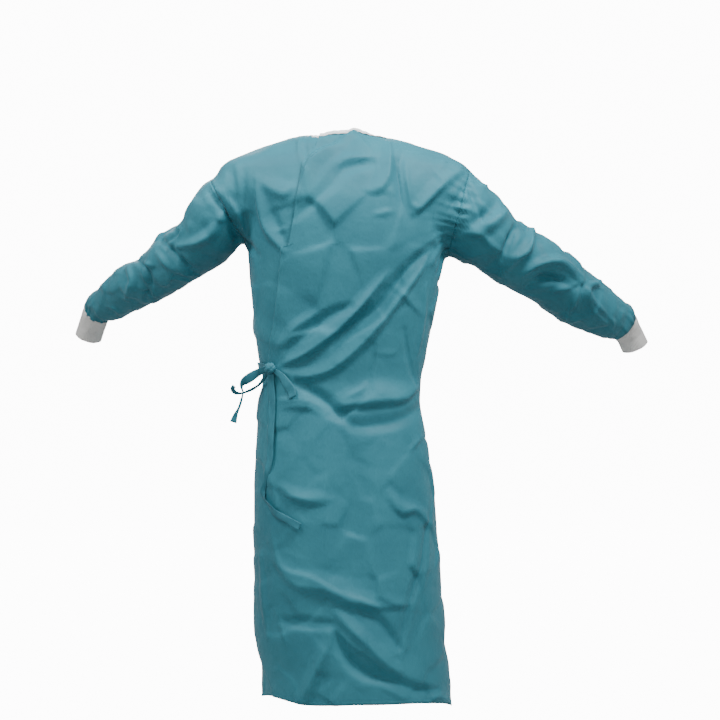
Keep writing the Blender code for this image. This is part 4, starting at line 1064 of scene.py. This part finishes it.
def gathers(turns, off):
    """The sleeve's gathers into its cuff, off metres from their seam."""
    a = np.radians(turns)[None, :]
    wave = np.sin(11 * a + 1.3 * np.sin(3 * a)) + 0.5 * np.sin(19 * a + 2.0)
    deep = 0.0021 * np.exp(-off / 0.022) * ease(0.35 + off / 0.006)
    return wave * deep[:, None]


def build_sleeve(side, hole, line, cuff_length):
    start, end, last = arm_stops(hole, line, cuff_length)
    turns = np.concatenate([180 * UPPER_V, 360 - 180 * UPPER_V[-2:0:-1]])
    stops = start + (end - start) * np.linspace(0, 1, SLEEVE_ROWS) ** 0.95
    rings = arm_rings(hole, line, stops, turns)
    cloth = raised(rings, gathers(turns, end - stops))
    made = sheet_piece(f"{side}_sleeve", cloth, GOWN, f"sleeve_{side}", True)
    around = np.concatenate([cloth, cloth[:, :1]], axis=1).transpose(1, 0, 2)
    rows = [inset(around, SCYE_STITCH), inset(around[:, ::-1], WRIST_STITCH)]
    stitches(f"{side}_sleeve_stitches", rows, TIE)

    turns = np.linspace(0, 360, CUFF_COLUMNS, endpoint=False)
    stops = np.linspace(end - 0.004, last, CUFF_ROWS)
    every = np.concatenate([[start], stops])
    rings = arm_rings(hole, line, every, turns)[1:]
    flat = rings.reshape(-1, 3)
    normal = unit(slope_of(flat)).reshape(rings.shape)
    rib = 0.00045 * np.cos(np.radians(turns) * CUFF_RIBS)[None, :] - 0.0010
    v = np.linspace(0, 1, CUFF_ROWS)[:, None]
    soft = 0.0005 * np.sin(3 * np.radians(turns) + 5 * v) + 0.0004 * np.sin(7 * np.radians(turns) - 6 * v)
    tuck = -0.0006 * np.exp(-v / 0.05)
    lift = folds(flat, normal.reshape(-1, 3)).reshape(rings.shape[:2]) * ease(1 - v / 0.4)
    knit = rings + normal * (rib + soft + tuck + lift)[:, :, None]
    cuff = sheet_piece(f"{side}_cuff", knit, KNIT, f"cuff_{side}", True, CUFF_KNIT)
    around = np.concatenate([knit, knit[:, :1]], axis=1).transpose(1, 0, 2)
    stitches(f"{side}_cuff_stitches", [inset(around[:, ::-1], CUFF_STITCH)], TAPE)
    return made, cuff


def build_binding():
    """The white tape folded over the neck edge, from the outer flap's corner to the under layer's."""
    edge = STARTS[-1]
    share = (NECK_END - NECK_START) / 180
    flap_count = int(110 * FINE)
    front_count = int(150 * FINE)
    under_count = int(70 * FINE)
    flap = np.linspace((edge - NECK_START) / share, 180, flap_count)
    front = np.linspace(180, 360, front_count)[1:]
    under = np.linspace(0, (UNDER_EDGE_NECK - NECK_START) / share, under_count)[1:]
    turns = np.concatenate([flap, front, 360 + under])
    middle = neck(turns)
    along = unit(np.gradient(middle, axis=0))
    normal = unit(slope_of(middle))
    up = unit(np.cross(along, normal))
    up *= np.sign(up[:, 2:])
    u = NECK_START + share * (turns % 360)
    hidden = ease((u - edge - 0.01) / 0.10)
    out = np.zeros(len(turns))
    folded = np.ones(len(turns))
    out[:len(flap)] = lap(u[:len(flap)])
    last = slice(len(turns) - len(under), None)
    out[last] = lap(u[last]) - LAP - UNDER_DROP * hidden[last]
    folded[last] = 1 - hidden[last]
    middle = middle + normal * (folds(middle, normal) * folded + out)[:, None]
    at = distances(middle)
    ripple = 0.0004 * np.sin(at * 420) + 0.0003 * np.sin(at * 233 + 1)
    profile = [
        (-0.0062, 0.0010), (-0.0030, 0.0014), (0.0010, 0.0013), (0.0042, 0.0010), (0.0064, 0.0004),
        (0.0071, -0.0005), (0.0064, -0.0014), (0.0036, -0.0019), (0.0002, -0.0020), (-0.0050, -0.0019),
    ]
    grid = []
    for high, off in profile:
        grid.append(middle + up * high + normal * (off + ripple * (1 if off > 0 else 0.4))[:, None])
    stitches("neck_stitches", [grid[1] + normal * 0.0002], TAPE)
    return sheet_piece("neck_tape", np.array(grid), TAPE, "neck_binding", thick=TAPE_CLOTH)


def ribbon(name, rows, node):
    """A folded strip along a line: rows are middle, way out, width and turn at each of its points."""
    middle, face, width, turn = rows
    count = int(max(24, distances(middle)[-1] / (0.004)))
    fine = smooth_line(np.hstack([middle, width[:, None], turn[:, None], face]), count)
    middle = fine[:, :3]
    width = fine[:, 3]
    turn = fine[:, 4]
    face = unit(fine[:, 5:])
    along = unit(np.gradient(middle, axis=0))
    across = unit(np.cross(along, face))
    out = unit(np.cross(across, along))
    a = np.radians(turn)[:, None]
    across, out = np.cos(a) * across + np.sin(a) * out, np.cos(a) * out - np.sin(a) * across
    at = distances(middle)
    s = np.linspace(-1, 1, ACROSS_RIBBON)
    arch = 0.0010 * np.sin(at * 60)[:, None] * (1 - s * s)[None]
    arch = arch + 0.0005 * np.sin(at * 150 + 1)[:, None] * s[None]
    grid = middle[:, None] + across[:, None] * (width[:, None] / 2 * s[None])[:, :, None]
    grid = grid + out[:, None] * arch[:, :, None]
    way = out[len(out) // 2]
    return sheet_piece(name, grid, TIE, node, thick=RIBBON_CLOTH, outward=way)


def lying(rows, start, normal):
    """A ribbon over the outer flap from its start at the knot: points, their way out, widths and turns."""
    first = rows[0]
    rows = np.array(rows[1:], float)
    base = laid(rows[:, 0] / 1000, rows[:, 1] / 1000, 1)
    out = unit(slope_of(base))
    lift = folds(base, out) + LAP + rows[:, 2] / 1000
    middle = np.concatenate([[start], base + out * lift[:, None]])
    face = np.concatenate([[normal], out])
    return middle, face, np.append(first[0], rows[:, 3]) / 1000, np.append(first[1], rows[:, 4])


def hanging(rows, start):
    """The same for a ribbon in the air."""
    first = rows[0]
    rows = np.array(rows[1:], float)
    middle = np.concatenate([[start], rows[:, :3] / 1000])
    face = np.tile([0, 1.0, 0], (len(middle), 1))
    return middle, face, np.append(first[0], rows[:, 3]) / 1000, np.append(first[1], rows[:, 4])


def build_tie():
    """The knot and the ribbons that leave it. The ribbons are returned."""
    base = laid([KNOT_BASE[0]], np.array([KNOT_BASE[1]]), 1)
    out = unit(slope_of(base))
    normal = out[0]
    side = unit(np.cross(normal, [0, 0, 1.0]))
    if side[0] < 0:
        side = -side
    up = unit(np.cross(side, normal))
    up *= np.sign(up[2])
    centre = base[0] + normal * (folds(base, out)[0] + LAP + KNOT_HALF[1] + 0.0008)
    shape = bmesh.new()
    bmesh.ops.create_uvsphere(shape, u_segments=int(72 * FINE), v_segments=int(48 * FINE), radius=1)
    points = []
    for vertex in shape.verts:
        x, y, z = vertex.co
        wrap = abs(math.sin(2.6 * (x * 0.8 + z * 1.1) + 1.2 * y + 0.5)) ** 0.6
        cross_wrap = abs(math.sin(2.4 * (x * 1.0 - z * 0.9) + 0.9 * y + 1.1)) ** 0.6
        swell = 0.86 + 0.13 * wrap + 0.07 * cross_wrap
        away = side * x * KNOT_HALF[0] + normal * y * KNOT_HALF[1] + up * z * KNOT_HALF[2]
        points.append(centre + away * swell)
    faces = [tuple(v.index for v in face.verts) for face in shape.faces]
    shape.free()
    piece("waist_knot", points, faces, TIE, ["tie_knot"], 0)

    def leaving(degrees, forward):
        """A point just inside the knot's skin: 0 is its left side, 90 its top."""
        c = math.cos(math.radians(degrees))
        s = math.sin(math.radians(degrees))
        return centre + (side * c * KNOT_HALF[0] + up * s * KNOT_HALF[2]) * 0.9 + normal * forward

    made = [
        ribbon("long_tail", lying(LONG_TAIL, leaving(-90, 0.0), normal), "tie_tail_long"),
        ribbon("short_end", lying(SHORT_END, leaving(205, 0.0), normal), "tie_short_end"),
        ribbon("bow_end", hanging(BOW, leaving(-5, 0.001)), "tie_bow"),
        ribbon("curled_end", hanging(CURL, leaving(-48, -0.001)), "tie_curl"),
    ]

    u = np.array(STRAP_SHARES)
    start = np.tile([section(STRAP_HEIGHT)[0], 0, STRAP_HEIGHT], (len(u), 1))
    way = np.stack([np.cos(np.pi * u), np.sin(np.pi * u), np.zeros(len(u))], axis=1)
    skin = crossing(start, way, 0.30)
    out = unit(slope_of(skin))
    over = skin + out * (folds(skin, out) + STRAP_OFF)[:, None]
    end = centre + side * 0.0115 - normal * 0.003
    middle = np.concatenate([over, [end]])
    face = np.concatenate([out, [normal]])
    width = np.append(np.full(len(u), STRAP_WIDE), 0.012)
    made.append(ribbon("front_strap", (middle, face, width, np.zeros(len(middle))), "tie_strap_front"))
    return made


def build_stage():
    """A round floor whose rim curves up into a wall. It glows white and lights only itself, and its dimmer
    glow beneath the gown is a painted shadow.
    """
    profile = [(1.2 * k, 0.0) for k in range(6)]
    for turn in np.linspace(0, 90, 7):
        a = math.radians(turn)
        profile.append((7.2 + 2 * math.sin(a), 2 * (1 - math.cos(a))))
    profile += [(9.2, 2.0 + 1.9 * k) for k in range(1, 4)]
    points = []
    for far, high in profile:
        for a in 2 * np.pi * np.arange(STAGE_COLUMNS) / STAGE_COLUMNS:
            points.append((far * math.cos(a), far * math.sin(a), FLOOR + high))
    faces = grid_faces(len(profile), STAGE_COLUMNS, True)
    paper = bpy.data.materials.new("studio_paper")
    paper.use_nodes = True
    tree = paper.node_tree
    shader = tree.nodes["Principled BSDF"]
    shader.inputs["Base Color"].default_value = (0.05, 0.05, 0.05, 1)
    shader.inputs["Roughness"].default_value = 0.9
    place = tree.nodes.new("ShaderNodeTexCoord")
    far = tree.nodes.new("ShaderNodeVectorMath")
    far.operation = "LENGTH"
    tree.links.new(place.outputs["Object"], far.inputs[0])
    # Painted shadow: the glow rises from a dim pool beneath the gown to the full white further out
    shadow_to_glow = tree.nodes.new("ShaderNodeMapRange")
    shadow_to_glow.inputs["From Min"].default_value = GLOW_STARTS
    shadow_to_glow.inputs["From Max"].default_value = GLOW_FULL
    shadow_to_glow.inputs["To Min"].default_value = PAINTED_SHADOW_GLOW
    shadow_to_glow.inputs["To Max"].default_value = GLOW
    tree.links.new(far.outputs["Value"], shadow_to_glow.inputs["Value"])
    shader.inputs["Emission Color"].default_value = (1, 1, 1, 1)
    tree.links.new(shadow_to_glow.outputs["Result"], shader.inputs["Emission Strength"])
    floor = smooth_object("studio_floor", points, faces, paper)
    itself = bpy.data.collections.new("paper_glow")
    itself.objects.link(floor)
    floor.light_linking.receiver_collection = itself


def light(name, place, aim, size, power):
    data = bpy.data.lights.new(name, "AREA")
    data.size = size
    data.energy = power
    data.spread = LIGHT_SPREAD
    made = bpy.data.objects.new(name, data)
    made.location = place
    made.rotation_euler = (Vector(aim) - Vector(place)).to_track_quat("-Z", "Y").to_euler()
    bpy.context.scene.collection.objects.link(made)


def build_view():
    world = bpy.data.worlds.new("studio_air")
    bpy.context.scene.world = world
    world.use_nodes = True
    air = world.node_tree.nodes["Background"]
    air.inputs["Color"].default_value = (1, 1, 1, 1)
    air.inputs["Strength"].default_value = AIR_STRENGTH
    for row in LIGHTS:
        light(*row)
    data = bpy.data.cameras.new("camera")
    data.lens = 79.55
    data.sensor_width = 36
    camera = bpy.data.objects.new("camera", data)
    camera.location = (-0.044, 3.5, -0.488)
    camera.rotation_euler = (math.radians(90), 0, math.radians(180))
    bpy.context.scene.collection.objects.link(camera)
    bpy.context.scene.camera = camera


RIGHT_BACK, LEFT_BACK, FORE = build_panels()
LEFT_SLEEVE, LEFT_CUFF = build_sleeve("left", LEFT_HOLE, LEFT_LINE, LEFT_CUFF_LENGTH)
RIGHT_SLEEVE, RIGHT_CUFF = build_sleeve("right", RIGHT_HOLE, RIGHT_LINE, RIGHT_CUFF_LENGTH)
NECK_TAPE = build_binding()
LONG_END, SHORT, BOW_END, CURLED, STRAP = build_tie()
build_stage()
build_view()

bpy.context.view_layer.update()
